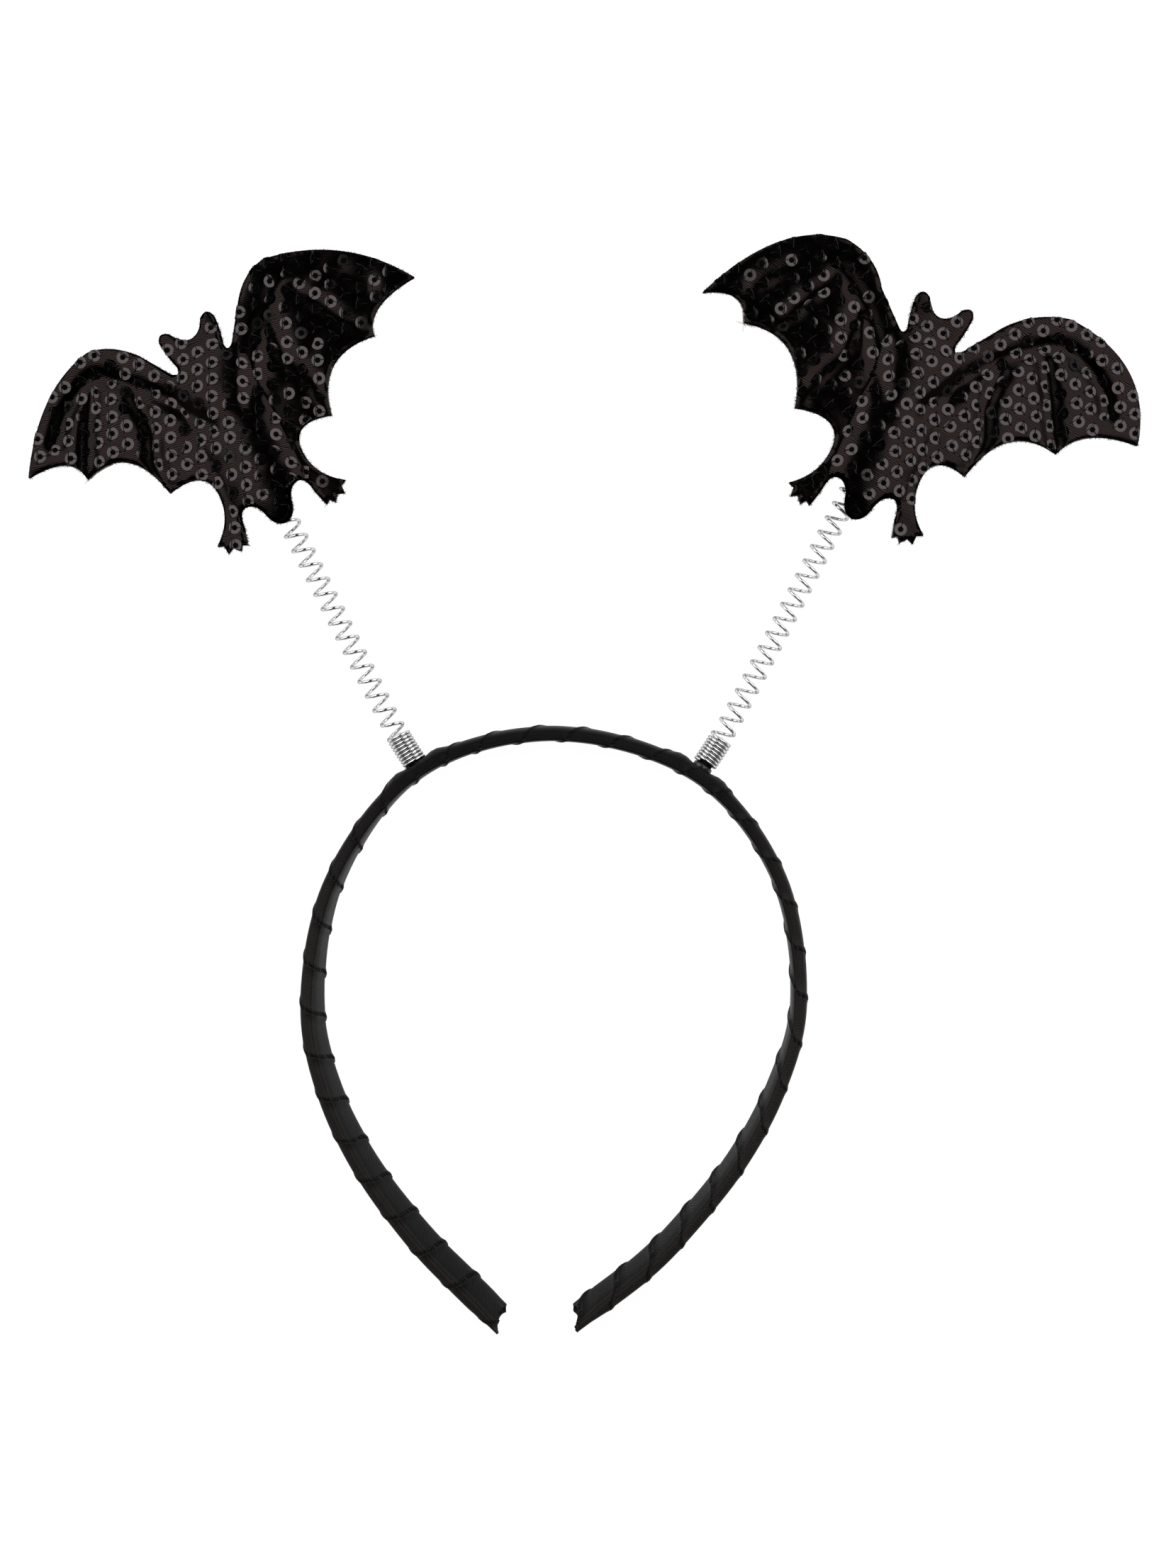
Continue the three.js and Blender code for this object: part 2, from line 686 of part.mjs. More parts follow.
class CoilCurve extends THREE.Curve {
  constructor(axis) {
    super();
    this.axis = axis;
    this.length = axis.getLength();
    this.baseLength = BASE_COIL.turns * BASE_COIL.pitch;
    this.turns = BASE_COIL.turns + (this.length - this.baseLength) / OPEN_COIL.pitch;
    this.arcLengthDivisions = Math.round(this.turns * 4 * STEPS_PER_TURN);
  }

  getPoint(t, target = new THREE.Vector3()) {
    const turn = t * this.turns;
    const open = Math.max(0, turn - BASE_COIL.turns);
    const advance = (turn - open) * BASE_COIL.pitch + open * OPEN_COIL.pitch;
    const share = Math.min(1, advance / this.length);
    const along = this.axis.getTangentAt(share);
    const side = new THREE.Vector3(along.y, -along.x, 0).normalize();
    const up = new THREE.Vector3().crossVectors(side, along);
    const radius = THREE.MathUtils.lerp(BASE_COIL.radius, OPEN_COIL.radius, Math.min(1, 2 * open));
    const around = 2 * Math.PI * turn;
    return target
      .copy(this.axis.getPointAt(share))
      .addScaledVector(side, radius * Math.cos(around))
      .addScaledVector(up, radius * Math.sin(around));
  }
}

function makeSpring(bat, batMatrix) {
  const { foot, direction } = pegAxis(bat);
  const start = foot.clone().addScaledVector(direction, bat.collar + GAP + WIRE / 2);
  const baseTop = start.clone().addScaledVector(direction, BASE_COIL.turns * BASE_COIL.pitch);
  const tail = new THREE.Vector3(bat.tailX, TAIL_Y, -COIL_DEPTH).applyMatrix4(batMatrix);
  const end = new THREE.Vector3(bat.endX, TAB_Y + TAB_LENGTH / 2, -COIL_DEPTH).applyMatrix4(batMatrix);
  const axis = new THREE.CatmullRomCurve3([start, baseTop, tail, end]);
  const coil = new CoilCurve(axis);
  const wire = new THREE.Shape(Array.from({ length: WIRE_SIDES }, (_, side) => {
    const around = (2 * Math.PI * side) / WIRE_SIDES;
    return new THREE.Vector2((WIRE / 2) * Math.cos(around), (WIRE / 2) * Math.sin(around));
  }));
  const steps = Math.round(coil.turns * STEPS_PER_TURN);
  return new THREE.ExtrudeGeometry(wire, { steps, extrudePath: coil, bevelEnabled: false });
}

// Assembly

function namedMesh(name, geometry, material) {
  const mesh = new THREE.Mesh(geometry, material);
  mesh.name = name;
  return mesh;
}

function batGroup(bat) {
  const group = new THREE.Group();
  const pitch = radians(bat.pitch);
  group.rotation.set(pitch, radians(bat.roll), radians(bat.turn), 'ZYX');
  group.position.set(bat.x, bat.y, TAB_DEPTH + TAB_LIFT - TAB_Y * Math.sin(pitch));
  const tab = namedMesh(`tab_${bat.side}`, makeTab(), MATERIALS.felt);
  const reach = TAB_Y + TAB_LENGTH / 2 - TAIL_Y;
  const slant = (bat.endX - bat.tailX) / reach;
  tab.position.set(bat.tailX + slant * (TAB_Y - TAIL_Y), TAB_Y, 0);
  tab.rotation.z = -Math.atan(slant);
  group.add(namedMesh(`bat_${bat.side}`, makeFront(bat), MATERIALS.sequinCloth));
  group.add(namedMesh(`backing_${bat.side}`, makeBacking(bat), MATERIALS.felt));
  group.add(tab);
  group.updateMatrixWorld(true);
  return group;
}

const headband = new THREE.Group();
headband.add(namedMesh('hoop_core', makeCore(), MATERIALS.plastic));
headband.add(namedMesh('ribbon_wrap', makeWrap(), MATERIALS.ribbon));
for (const bat of BATS) {
  const group = batGroup(bat);
  headband.add(group);
  headband.add(namedMesh(`spring_${bat.side}`, makeSpring(bat, group.matrixWorld), MATERIALS.wire));
}

// The origin is under the middle of the whole object, on the surface it lies on
const box = new THREE.Box3().setFromObject(headband, true);
const middle = box.getCenter(new THREE.Vector3());
headband.position.set(-middle.x, -middle.y, -box.min.z);
headband.updateMatrixWorld(true);

export default headband;
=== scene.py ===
# Bat headband: a ribbon-wound hoop with two padded sequin bats on wire springs, lying on its side.
# Lengths are millimetres in the row frame and angles are degrees, unless a name says otherwise.

import math

import bmesh
import bpy
import numpy as np
from mathutils import Euler, Matrix, Vector
from mathutils.geometry import delaunay_2d_cdt


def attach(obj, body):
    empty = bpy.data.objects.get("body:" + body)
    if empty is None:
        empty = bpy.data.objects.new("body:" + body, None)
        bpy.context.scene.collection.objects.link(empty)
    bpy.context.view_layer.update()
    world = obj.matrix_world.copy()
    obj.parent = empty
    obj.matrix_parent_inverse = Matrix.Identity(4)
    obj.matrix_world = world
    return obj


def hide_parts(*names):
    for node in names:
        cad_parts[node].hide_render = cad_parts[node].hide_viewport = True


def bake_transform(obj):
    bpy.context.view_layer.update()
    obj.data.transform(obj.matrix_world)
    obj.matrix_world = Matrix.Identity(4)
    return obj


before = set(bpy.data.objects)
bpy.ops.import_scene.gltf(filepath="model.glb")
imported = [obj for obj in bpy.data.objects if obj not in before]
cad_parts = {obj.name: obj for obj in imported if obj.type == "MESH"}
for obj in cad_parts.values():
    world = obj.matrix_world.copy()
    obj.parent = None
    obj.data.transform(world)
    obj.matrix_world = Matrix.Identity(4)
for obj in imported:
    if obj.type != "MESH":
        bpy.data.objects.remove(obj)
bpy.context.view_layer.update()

MM = 0.001
UP = np.array([0.0, 0.0, 1.0])
FULL_TURN = 2 * math.pi

# Hoop centre line, round the middle of the head space: the angle runs clockwise from the crown, and the
# lean tips the strip's upper edge outwards. Each row is angle, radius, lean.
HOOP_CENTRE = np.array([-7.228, -54.172, 0.024])
HOOP_LINE = [
    (-169.6, 75.4, 31),
    (-160, 68.7, 31),
    (-150, 64.2, 30),
    (-130, 59.1, 27),
    (-110, 57.6, 23),
    (-90, 58.1, 19),
    (-60, 60.9, 10),
    (-30, 65.3, 1),
    (0, 65.6, -2),
    (32, 65.3, 0),
    (60, 62.1, 1),
    (90, 58.5, 4),
    (110, 56.6, 12),
    (130, 57.2, 16),
    (150, 61.3, 20),
    (160, 65.4, 23),
    (175.4, 74.2, 26),
]
HOOP_STEPS = 80

# Wound ribbon
WRAP_WIDTH = 10.2
WRAP_THICK = 3.6
WRAP_WALL = 0.45
WRAP_PROUD = 0.38
WRAP_SQUARENESS = 3.2
WRAP_SIDES = 60
WRAP_GIRTH = 2 * (WRAP_WIDTH + WRAP_THICK)
# Distances along the hoop at which a turn of the ribbon crosses its upper edge, as turn, distance
WRAP_TURNS = [(-2, -12.5), (0, 12.4), (13, 152.0), (15, 168.8), (19, 211.9), (22, 238.7), (36, 394.1)]
WRAP_PITCH = 10.8
# Share of a turn's slant that falls on the inner face, as turn, share
INNER_SLANT = [(-2, 0.3), (12, 0.3), (19, 0.5), (26, 0.82), (36, 0.82)]
# One turn of ribbon: distance from its edge, and how far the surface stands proud there. The edge and the
# hidden edge of the layer below are corded, with a sewn strip between them.
RIBBON_PROFILE = [
    (0.0, 0.0),
    (0.06, 0.22),
    (0.28, 0.36),
    (0.52, 0.26),
    (0.72, 0.12),
    (1.25, 0.12),
    (1.5, 0.24),
    (1.75, 0.3),
    (2.0, 0.2),
    (2.4, 0.11),
    (4.4, 0.08),
    (6.6, 0.05),
    (8.8, 0.02),
]
# Share of the profile's height that is left over the strip's upper edge, where the ribbon is drawn tight
UPPER_PROUD = 0.35
# Crease where the ribbon folds over the strip's upper edge: share of the way round from the upper edge
CREASE_AT = 0.905
CREASE_WIDTH = 0.012
CREASE_DEPTH = 0.3
# The ribbon runs on past the plastic and is pinched flat, with a hollow cut across its mouth
MOUTH_LENGTH = 7.0
MOUTH_PINCH = 0.62
MOUTH_RADIUS = 8.0
MOUTH_BITE = 0.9
MOUTH_SLANT = 0.5
# The mouth reaches further at the strip's upper edge
MOUTH_LIP = 2.3
# Swelling of the ribbon on either side of a peg
PEG_SWELL = 0.9
PEG_SWELL_AT = 5.4
PEG_SWELL_WIDTH = 2.6
# Ladder of stitches across each overlap. A stitch's path is the share of its length from its middle, and
# how far it stands proud.
LADDER_SPACING = 0.62
LADDER_LENGTH = 0.95
LADDER_RADIUS = 0.11
LADDER_AT = 0.98
LADDER_PATH = [(-0.5, 0.2), (-0.25, 0.34), (0.25, 0.34), (0.5, 0.2)]
LADDER_STRAY = 0.05
LADDER_STRAY_ROUND = 0.002
LADDER_ROLL = 0.05
LADDER_SEED = 5

# Plastic hoop inside the ribbon, and its two pegs
CORE_HALF_THICK = 0.65
CORE_HALF_WIDTH = 3.95
CORE_STATIONS = 120
CORE_SIDES = 16
PEG_COLLAR_RADIUS = 2.45
PEG_COLLAR_FOOT = -0.4
PEG_RIM = 0.35
PEG_RIM_ROUND = 0.1
PEG_NECK_RADIUS = 1.95
PEG_NECK_HEIGHT = 1.2
PEG_POST_RADIUS = 1.85
PEG_POST_SUNK = 0.1
PEG_POST_PROUD = 0.6
PEG_DOME = range(0, 90, 18)
PEG_STEPS = 28

# Springs
WIRE = 0.8
WIRE_SIDES = 10
COIL_STEPS = 30
BASE_PITCH = 0.8586
BASE_RADIUS = 2.6
OPEN_PITCH = 3.9
OPEN_RADIUS = 2.35
AXIS_STEPS = 60
GAP = 0.3

# Bats
FELT_THICK = 1.0
FELT_INSET = 0.35
FELT_SPACING = 2.5
CLOTH_BASE = 1.15
CLOTH_EDGE = 2.2
CLOTH_SPACING = 0.65
# Share of the spacing that is left free between the outline and the points inside it
EDGE_CLEAR = 0.55
# Angle from which an edge of the cloth or felt counts as cut
CUT_EDGE = math.radians(40)
OUTLINE_STEP = 0.6
PUFF_THICK = 0.6
PUFF_REACH = 0.7
# Share of the wing's padding that is lost from the first to the second distance out from the body
PUFF_LOST = 0.5
PUFF_THINS = (14, 52)
BODY_THICK = 2.4
BODY_HALF_WIDTH = 9.5
BODY_FULLNESS = 0.8
BODY_FOOT = -24.0
BODY_TOP = 24.0
# Slight lumps of the filling, as waves across the bat that swing to and fro along it
LUMP_HEIGHT = 0.08
LUMP_ACROSS = 0.52
LUMP_SWING = 1.4
LUMP_SWING_ALONG = 0.33
LUMP_ALONG = 0.61
LUMP_START = 0.8
# The wings bend down from the body to their tips like a roof with a rounded ridge
WING_DROOP = 4.0
WING_SPAN = 55.0
WING_RIDGE = 12.0

# Half a bat's outline, from between the ears round the wing to the tail. Each row is the point that the
# outline reaches, and the control point of the curve to it where that stretch isn't straight. The rows of
# the wing are filled in for each one.
OUTLINE = [
    ((0, 28.4), None),
    ((4.1, 31.9), (2.6, 28.6)),
    ((7.4, 31.0), (6.6, 34.0)),
    ((6.2, 23.8), (7.2, 27.2)),
    ((8.2, 22.9), (6.3, 21.0)),
    "shoulder",
    "hump",
    "tip",
    "first_point",
    "second_point",
    ((11.3, -8.5), (11.9, -1.0)),
    ((17.2, -20.4), (11.0, -16.0)),
    ((15.8, -21.0), None),
    ((15.7, -23.2), None),
    ((14.1, -22.5), None),
    ((12.7, -24.2), None),
    ((11.7, -22.9), None),
    ((10.5, -23.7), None),
    ((9.4, -19.5), None),
    ((7.0, -15.0), (9.0, -15.0)),
    ((3.7, -18.3), (4.8, -15.1)),
    ((0, -22.9), (2.9, -22.6)),
]

# Pressed valleys of one wing. The arm's starts beside the body and then follows the leading edge, drawn
# in towards the palm. The fingers' run down to the two points of the wing's lower edge.
ARM_START = [(5.5, 6.5), (12.0, 17.6), (18.2, 25.0)]
PALM = np.array([26.0, 14.0])
ARM_DRAWN_IN = 0.27
ARM_STOPS = [0.05, 0.3, 0.55, 0.8]
FINGERS = {
    "first_point": [(26.8, 28.5), (31.3, 21.3), (34.8, 14.6)],
    "second_point": [(18.2, 22.5), (18.2, 12.7), (19.8, 8.5), (21.0, 4.9)],
}
VALLEY_WIDTH = 2.4
VALLEY_STEPS = 8

# Sequin rings, in rows as they are sewn. A ring takes the slope of the cloth over about its own width.
RING_OUTER = 1.5
RING_HOLE = 0.7
RING_DEPTH = 0.13
RING_SEGMENTS = 18
RING_LIFT = 0.16
RING_TILT = 3.2
RING_JITTER = 0.16
RING_MARGIN = 0.45
RING_ROWS = 40
SLOPE_REACH = 1.4
# Up to three stitches show on each ring, and a thread may cut across it from one to the next. The side of
# the ring beyond such a thread is pressed down. A flat knot fills the hole: a real knot that also serves as
# painted shade in the hole. A stitch's path is the distance from the ring's middle, and the share of the
# stitch's rise. A crossing thread has only the shares.
STITCH_ANGLES = [92, 211, -32]
STITCH_RADIUS = 0.085
STITCH_REACH = 1.95
STITCH_RISE = 0.2
STITCH_KEPT = 0.65
STITCH_PATH = [(0.45, -0.6), (RING_HOLE, 0.75), (1.1, 1.0), (RING_OUTER, 0.75), (STITCH_REACH, -0.9)]
STITCH_STRAY = 5
STITCH_SLEW = 0.06
STITCH_RISES = (0.8, 1.3)
STITCH_REACHES = (0.94, 1.08)
STITCH_WIDTHS = (0.8, 1.2)
CROSSINGS = [(92, -32), (92, 211)]
CROSSING_AT = 0.86
CROSSING_RISES = np.array([-0.9, 0.8, 1.0, 0.8, -0.9])
CROSSING_STRAY = 6
CROSSING_BOW = 0.07
PRESSED = 7.0
KNOT_RADIUS = 0.64
KNOT_HEIGHT = 0.12
KNOT_SIDES = 9
KNOT_BANDS = 4
KNOT_STRAY = 0.05
KNOT_SIZES = (0.9, 1.1)
# Knit ribs run across the bats on a slant
RIB_TURN = -12.0
RIB_PITCH = 0.46

# Loose fibres on the cut edge of the cloth. Base is the height of their roots above the cloth's underside,
# and lift the mean and spread of their climb.
FIBRES_PER_MM = 5.0
FIBRE_LENGTH = (0.25, 0.7)
FIBRE_RADIUS = 0.04
FIBRE_WIDTHS = (0.7, 1.4)
FIBRE_ROOT = 0.25
FIBRE_SLEW = 0.7
FIBRE_CURL = 0.35
FIBRE_BASE = (0.1, 1.0)
FIBRE_LIFT = (0.1, 0.5)
FIBRE_STOPS = (0, 0.4, 0.75, 1)
FIBRE_ROLL = 0.1

# Wadding, in strands along the edge
WADDING_COUNT = 140
WADDING_SPREAD = 2.0
WADDING_DEPTH = 0.16
WADDING_RUN = 0.9
WADDING_BASE = (-0.1, 0.35)
WADDING_STOPS = (-1, -0.3, 0.4, 1)
WADDING_WAVER = 0.07
WADDING_WAVER_UP = 0.06
WADDING_RADIUS = 0.05

# The two bats. Turn, pitch and roll set the bat in the row, stretch lengthens it from head to tail, skew
# shifts the head sideways against the feet, and each wing, left at -1 and right at 1, has its own rows of
# the outline and depth of its valleys. Peg_angle is the peg's place on the hoop, peg_turn the way it points
# and collar the height of its collar. The spring has base_turns in its base coil, starts at coil_phase of a
# turn and runs under the bat from tail_x at the tail to end_x at its last turn. Rings lie on a lattice of
# two steps from one ring's place, and crossings is the share of the rings that each crossing thread cuts.
# Wadding shows at one place on the cut edge.
BATS = [
    {
        "side": "left",
        "body": "left_bat",
        "place": (-74.2, 135.5),
        "turn": 27.5,
        "pitch": -5.0,
        "roll": -0.6,
        "stretch": 0.97,
        "skew": 0.0,
        "wings": {
            -1: {
                "shoulder": ((13.0, 30.8), None),
                "hump": ((23.8, 37.7), (18.0, 37.0)),
                "tip": ((50.2, 17.2), (38.6, 35.6)),
                "first_point": ((37.7, 9.9), (38.5, 18.0)),
                "second_point": ((21.6, -3.0), (25.0, 14.3)),
                "valley": 1.35,
            },
            1: {
                "shoulder": ((14.0, 31.3), None),
                "hump": ((24.2, 38.1), (18.2, 37.4)),
                "tip": ((54.2, 17.2), (43.8, 34.8)),
                "first_point": ((39.3, 8.6), (40.3, 16.3)),
                "second_point": ((21.5, -4.4), (24.4, 11.1)),
                "valley": 0.75,
            },
        },
        "peg_angle": -29.5,
        "peg_turn": -32.0,
        "collar": 1.7,
        "base_turns": 8.93,
        "coil_phase": 0.53,
        "tail_x": 0.4,
        "end_x": 0.4,
        "ring_steps": ((3.95, 0.03), (2.2, -3.78)),
        "ring_start": (-8.48, -2.87),
        "crossings": (0.25, 0.55),
        "wadding": (-34.5, 9.3),
        "seed": 11,
    },
    {
        "side": "right",
        "body": "right_bat",
        "place": (80.5, 138.2),
        "turn": -21.5,
        "pitch": -5.0,
        "roll": 0.4,
        "stretch": 1.03,
        "skew": 0.04,
        "wings": {
            -1: {
                "shoulder": ((15.6, 29.9), None),
                "hump": ((28.0, 37.9), (19.6, 36.6)),
                "tip": ((54.6, 14.3), (44.7, 36.9)),
                "first_point": ((42.5, 11.1), (45.0, 19.3)),
                "second_point": ((23.2, -3.5), (27.2, 13.8)),
                "valley": 0.75,
            },
            1: {
                "shoulder": ((14.6, 31.6), None),
                "hump": ((29.0, 39.8), (20.2, 38.2)),
                "tip": ((56.0, 18.4), (51.5, 38.1)),
                "first_point": ((38.8, 9.2), (42.2, 18.0)),
                "second_point": ((20.8, -3.9), (24.8, 12.6)),
                "valley": 1.35,
            },
        },
        "peg_angle": 31.8,
        "peg_turn": 33.0,
        "collar": 2.9,
        "base_turns": 8.0,
        "coil_phase": 0.35,
        "tail_x": -4.1,
        "end_x": -2.8,
        "ring_steps": ((4.0, -0.36), (1.95, -4.12)),
        "ring_start": (10.92, 9.51),
        "crossings": (0.5, 0.3),
        "wadding": (-46.0, 12.0),
        "seed": 23,
    },
]

# Felt tab under each bat, round the spring's last turns
TAB_THICK = 1.2
TAB_HALF_WIDTH = 7.2
TAB_LENGTH = 7.0
TAB_Y = -10.5
TAIL_Y = -22.5
TAB_LIFT = 0.5
TAB_ARC_STEP = 12
TAB_BEVEL = 0.25
FLANGE_DEPTH = 0.3
COIL_OUTER = OPEN_RADIUS + WIRE / 2
COIL_DEPTH = GAP + COIL_OUTER
TAB_DEPTH = COIL_DEPTH + COIL_OUTER + GAP + TAB_THICK

# Studio, in metres. The room's shade runs between two heights of the view's direction.
CAMERA_AT = (0.0008, -0.0007, 1.103)
CAMERA_LENS = 105.0
FLOOR_HALF = 12.0
FLOOR_TONE = 0.06
FLOOR_GLOW = 0.98
SOFTBOX_INNER = (0.113, 0.36)
SOFTBOX_OUTER = (0.47, 0.17)
SOFTBOX_NEAR = 0.0
SOFTBOX_FAR = 0.7
SOFTBOX_RADIANCE = 2.5
ROOM_SHADE = {"From_Min": 0.1, "From_Max": 0.7, "To_Min": 0.4, "To_Max": 0.012}


# Curves


class Route:
    """A line of points that is read at a distance along it."""

    def __init__(self, points):
        self.points = np.asarray(points, float)
        steps = np.linalg.norm(np.diff(self.points, axis=0), axis=1)
        self.reach = np.concatenate([[0.0], np.cumsum(steps)])
        self.length = self.reach[-1]

    def at(self, distance):
        columns = [np.interp(distance, self.reach, column) for column in self.points.T]
        return np.stack(columns, axis=-1)

    def heading(self, distance, step=0.2):
        ahead = self.at(np.minimum(distance + step, self.length))
        behind = self.at(np.maximum(distance - step, 0.0))
        return unit(ahead - behind)


def unit(vectors):
    return vectors / np.linalg.norm(vectors, axis=-1, keepdims=True)


def right_of(heading):
    return np.stack([heading[:, 1], -heading[:, 0]], axis=1)


def closed(loop):
    return np.vstack([loop, loop[:1]])


def smooth_curve(points, per_span):
    """Points on a centripetal Catmull-Rom curve, the curve that the solids follow."""
    points = np.asarray(points, float)
    padded = np.vstack([2 * points[0] - points[1], points, 2 * points[-1] - points[-2]])
    share = np.linspace(0, 1, per_span, endpoint=False)[:, None]
    spans = []
    for before, start, stop, after in zip(padded, padded[1:], padded[2:], padded[3:]):
        lead = np.sqrt(np.linalg.norm(start - before))
        gap = np.sqrt(np.linalg.norm(stop - start))
        trail = np.sqrt(np.linalg.norm(after - stop))
        leave = ((start - before) / lead - (stop - before) / (lead + gap) + (stop - start) / gap) * gap
        arrive = ((stop - start) / gap - (after - start) / (gap + trail) + (after - stop) / trail) * gap
        bend = 3 * (stop - start) - 2 * leave - arrive
        twist = 2 * (start - stop) + leave + arrive
        spans.append(start + leave * share + bend * share**2 + twist * share**3)
    spans.append(points[-1:])
    return np.vstack(spans)


def bezier(start, bend, stop, share):
    start, bend, stop = (np.asarray(point, float) for point in (start, bend, stop))
    share = np.asarray(share, float)[:, None]
    return start * (1 - share) ** 2 + bend * 2 * share * (1 - share) + stop * share**2


def smoothstep(value, low, high):
    share = np.clip((value - low) / (high - low), 0, 1)
    return share * share * (3 - 2 * share)


def polar(angle, along, aside, height):
    """Points at an angle and a distance from a middle, moved aside and up."""
    x = along * np.cos(angle) - aside * np.sin(angle)
    y = along * np.sin(angle) + aside * np.cos(angle)
    return np.stack([x, y, np.broadcast_to(height, x.shape)], axis=-1)


def nearest_on(points, line):
    """Nearest places on a line of straight pieces to points, and how far off they are."""
    places = np.array(points)
    nearest = np.full(len(points), np.inf)
    for start, stop in zip(line, line[1:]):
        step = stop - start
        share = np.clip((points - start) @ step / max(step @ step, 1e-12), 0, 1)
        foot = start + share[:, None] * step
        away = np.sum((points - foot) ** 2, axis=1)
        closer = away < nearest
        nearest[closer] = away[closer]
        places[closer] = foot[closer]
    return places, np.sqrt(nearest)


def line_distance(points, line):
    return nearest_on(points, line)[1]


def inside_loop(points, loop):
    inside = np.zeros(len(points), bool)
    for start, stop in zip(loop, np.roll(loop, -1, axis=0)):
        crosses = (start[1] > points[:, 1]) != (stop[1] > points[:, 1])
        height = stop[1] - start[1]
        level = start[0] + (stop[0] - start[0]) * (points[:, 1] - start[1]) / (height if height else 1)
        inside ^= crosses & (points[:, 0] < level)
    return inside


# Meshes


def finish_piece(mesh, material, body=None):
    """Object for a mesh that was made in millimetres in the row frame. It takes the mesh's name."""
    mesh.transform(Matrix.Scale(MM, 4))
    mesh.materials.append(material)
    mesh.update()
    piece = bpy.data.objects.new(mesh.name, mesh)
    bpy.context.scene.collection.objects.link(piece)
    if body:
        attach(piece, body)
    return piece


def mesh_from(bm, name):
    mesh = bpy.data.meshes.new(name)
    bm.to_mesh(mesh)
    bm.free()
    mesh.polygons.foreach_set("use_smooth", np.full(len(mesh.polygons), True))
    return mesh


def corners_of(verts):
    return np.array([vert.co for vert in verts])


def move(verts, places):
    for vert, place in zip(verts, places):
        vert.co = place


def face_outwards(bm):
    """Turns all the faces of a closed shape outwards."""
    bmesh.ops.recalc_face_normals(bm, faces=bm.faces)
    if bm.calc_volume(signed=True) < 0:
        bmesh.ops.reverse_faces(bm, faces=bm.faces)


def verts_in(parts):
    return [part for part in parts if isinstance(part, bmesh.types.BMVert)]


def unwrap(bm, name, flat):
    """Gives each corner of a mesh its place on a flat sheet."""
    sheet = bm.loops.layers.uv.new(name)
    bm.verts.index_update()
    for face in bm.faces:
        for loop in face.loops:
            loop[sheet].uv = flat[loop.vert.index]


def template(bm):
    """Corners and faces of a small shape that is to be repeated."""
    bm.verts.index_update()
    corners = corners_of(bm.verts)
    faces = [[vert.index for vert in face.verts] for face in bm.faces]
    bm.free()
    return corners, faces


def repeated(name, places, faces, smooth=True):
    """One mesh of many copies of a shape: places holds the corners of each copy."""
    count, size, _ = places.shape
    blocks = [np.arange(count)[:, None] * size + np.array(face) for face in faces]
    loops = np.concatenate([block.ravel() for block in blocks])
    sizes = np.concatenate([np.full(count, block.shape[1]) for block in blocks])
    mesh = bpy.data.meshes.new(name)
    mesh.vertices.add(count * size)
    mesh.vertices.foreach_set("co", places.reshape(-1))
    mesh.loops.add(len(loops))
    mesh.loops.foreach_set("vertex_index", loops)
    mesh.polygons.add(len(sizes))
    mesh.polygons.foreach_set("loop_start", np.concatenate([[0], np.cumsum(sizes)[:-1]]))
    mesh.polygons.foreach_set("use_smooth", np.full(len(sizes), smooth))
    mesh.update(calc_edges=True)
    mesh.validate()
    return mesh


def tube(spans, sides):
    """Closed tube of unit radius, one unit long, with a ring of corners at each step of its length."""
    bm = bmesh.new()
    bmesh.ops.create_cone(bm, cap_ends=True, segments=sides, radius1=1, radius2=1, depth=1)
    lengthwise = [edge for edge in bm.edges if abs(edge.verts[0].co.z - edge.verts[1].co.z) > 0.5]
    bmesh.ops.subdivide_edges(bm, edges=lengthwise, cuts=spans - 1)
    face_outwards(bm)
    return bm


def threads(name, paths, radius, up, sides=4):
    """Tubes along many short paths: paths is tube by step by coordinate."""
    spans = paths.shape[1] - 1
    corners, faces = template(tube(spans, sides))
    step = np.rint((corners[:, 2] + 0.5) * spans).astype(int)
    heading = unit(np.gradient(paths, axis=1))
    side = unit(np.cross(heading, up[:, None, :]))
    over = np.cross(side, heading)
    thick = np.broadcast_to(np.asarray(radius, float), paths.shape[:1])[:, None, None]
    offset = side[:, step] * corners[None, :, 0:1] + over[:, step] * corners[None, :, 1:2]
    # These directions mirror the tube, so its faces are turned round
    return repeated(name, paths[:, step] + offset * thick, [face[::-1] for face in faces])


def roughly_up(count, spread, rng):
    return UP + rng.normal(0, spread, (count, 3))


def spun(profile, steps, ring=False):
    """Solid of revolution about +Z from a profile of radius, height, which closes on itself for a ring."""
    bm = bmesh.new()
    verts = [bm.verts.new((radius, 0, height)) for radius, height in profile]
    following = [*verts[1:], verts[0]] if ring else verts[1:]
    edges = [bm.edges.new(pair) for pair in zip(verts, following)]
    bmesh.ops.spin(bm, geom=verts + edges, axis=(0, 0, 1), angle=FULL_TURN, steps=steps, use_merge=True)
    bmesh.ops.remove_doubles(bm, verts=bm.verts, dist=1e-4)
    face_outwards(bm)
    return bm


# Hoop


def hoop_route():
    rows = []
    for angle, radius, lean in HOOP_LINE:
        around = math.radians(angle)
        rows.append((radius * math.sin(around), radius * math.cos(around), math.radians(lean)))
    return Route(smooth_curve(rows, HOOP_STEPS))


HOOP = hoop_route()


def section_reach(lean):
    """How far the strip's rounded section reaches below its middle when it leans."""
    power = WRAP_SQUARENESS / (WRAP_SQUARENESS - 1)
    across = np.abs(WRAP_WIDTH / 2 * np.cos(lean)) ** power
    through = np.abs(WRAP_THICK / 2 * np.sin(lean)) ** power
    return (across + through) ** (1 / power) + WRAP_PROUD


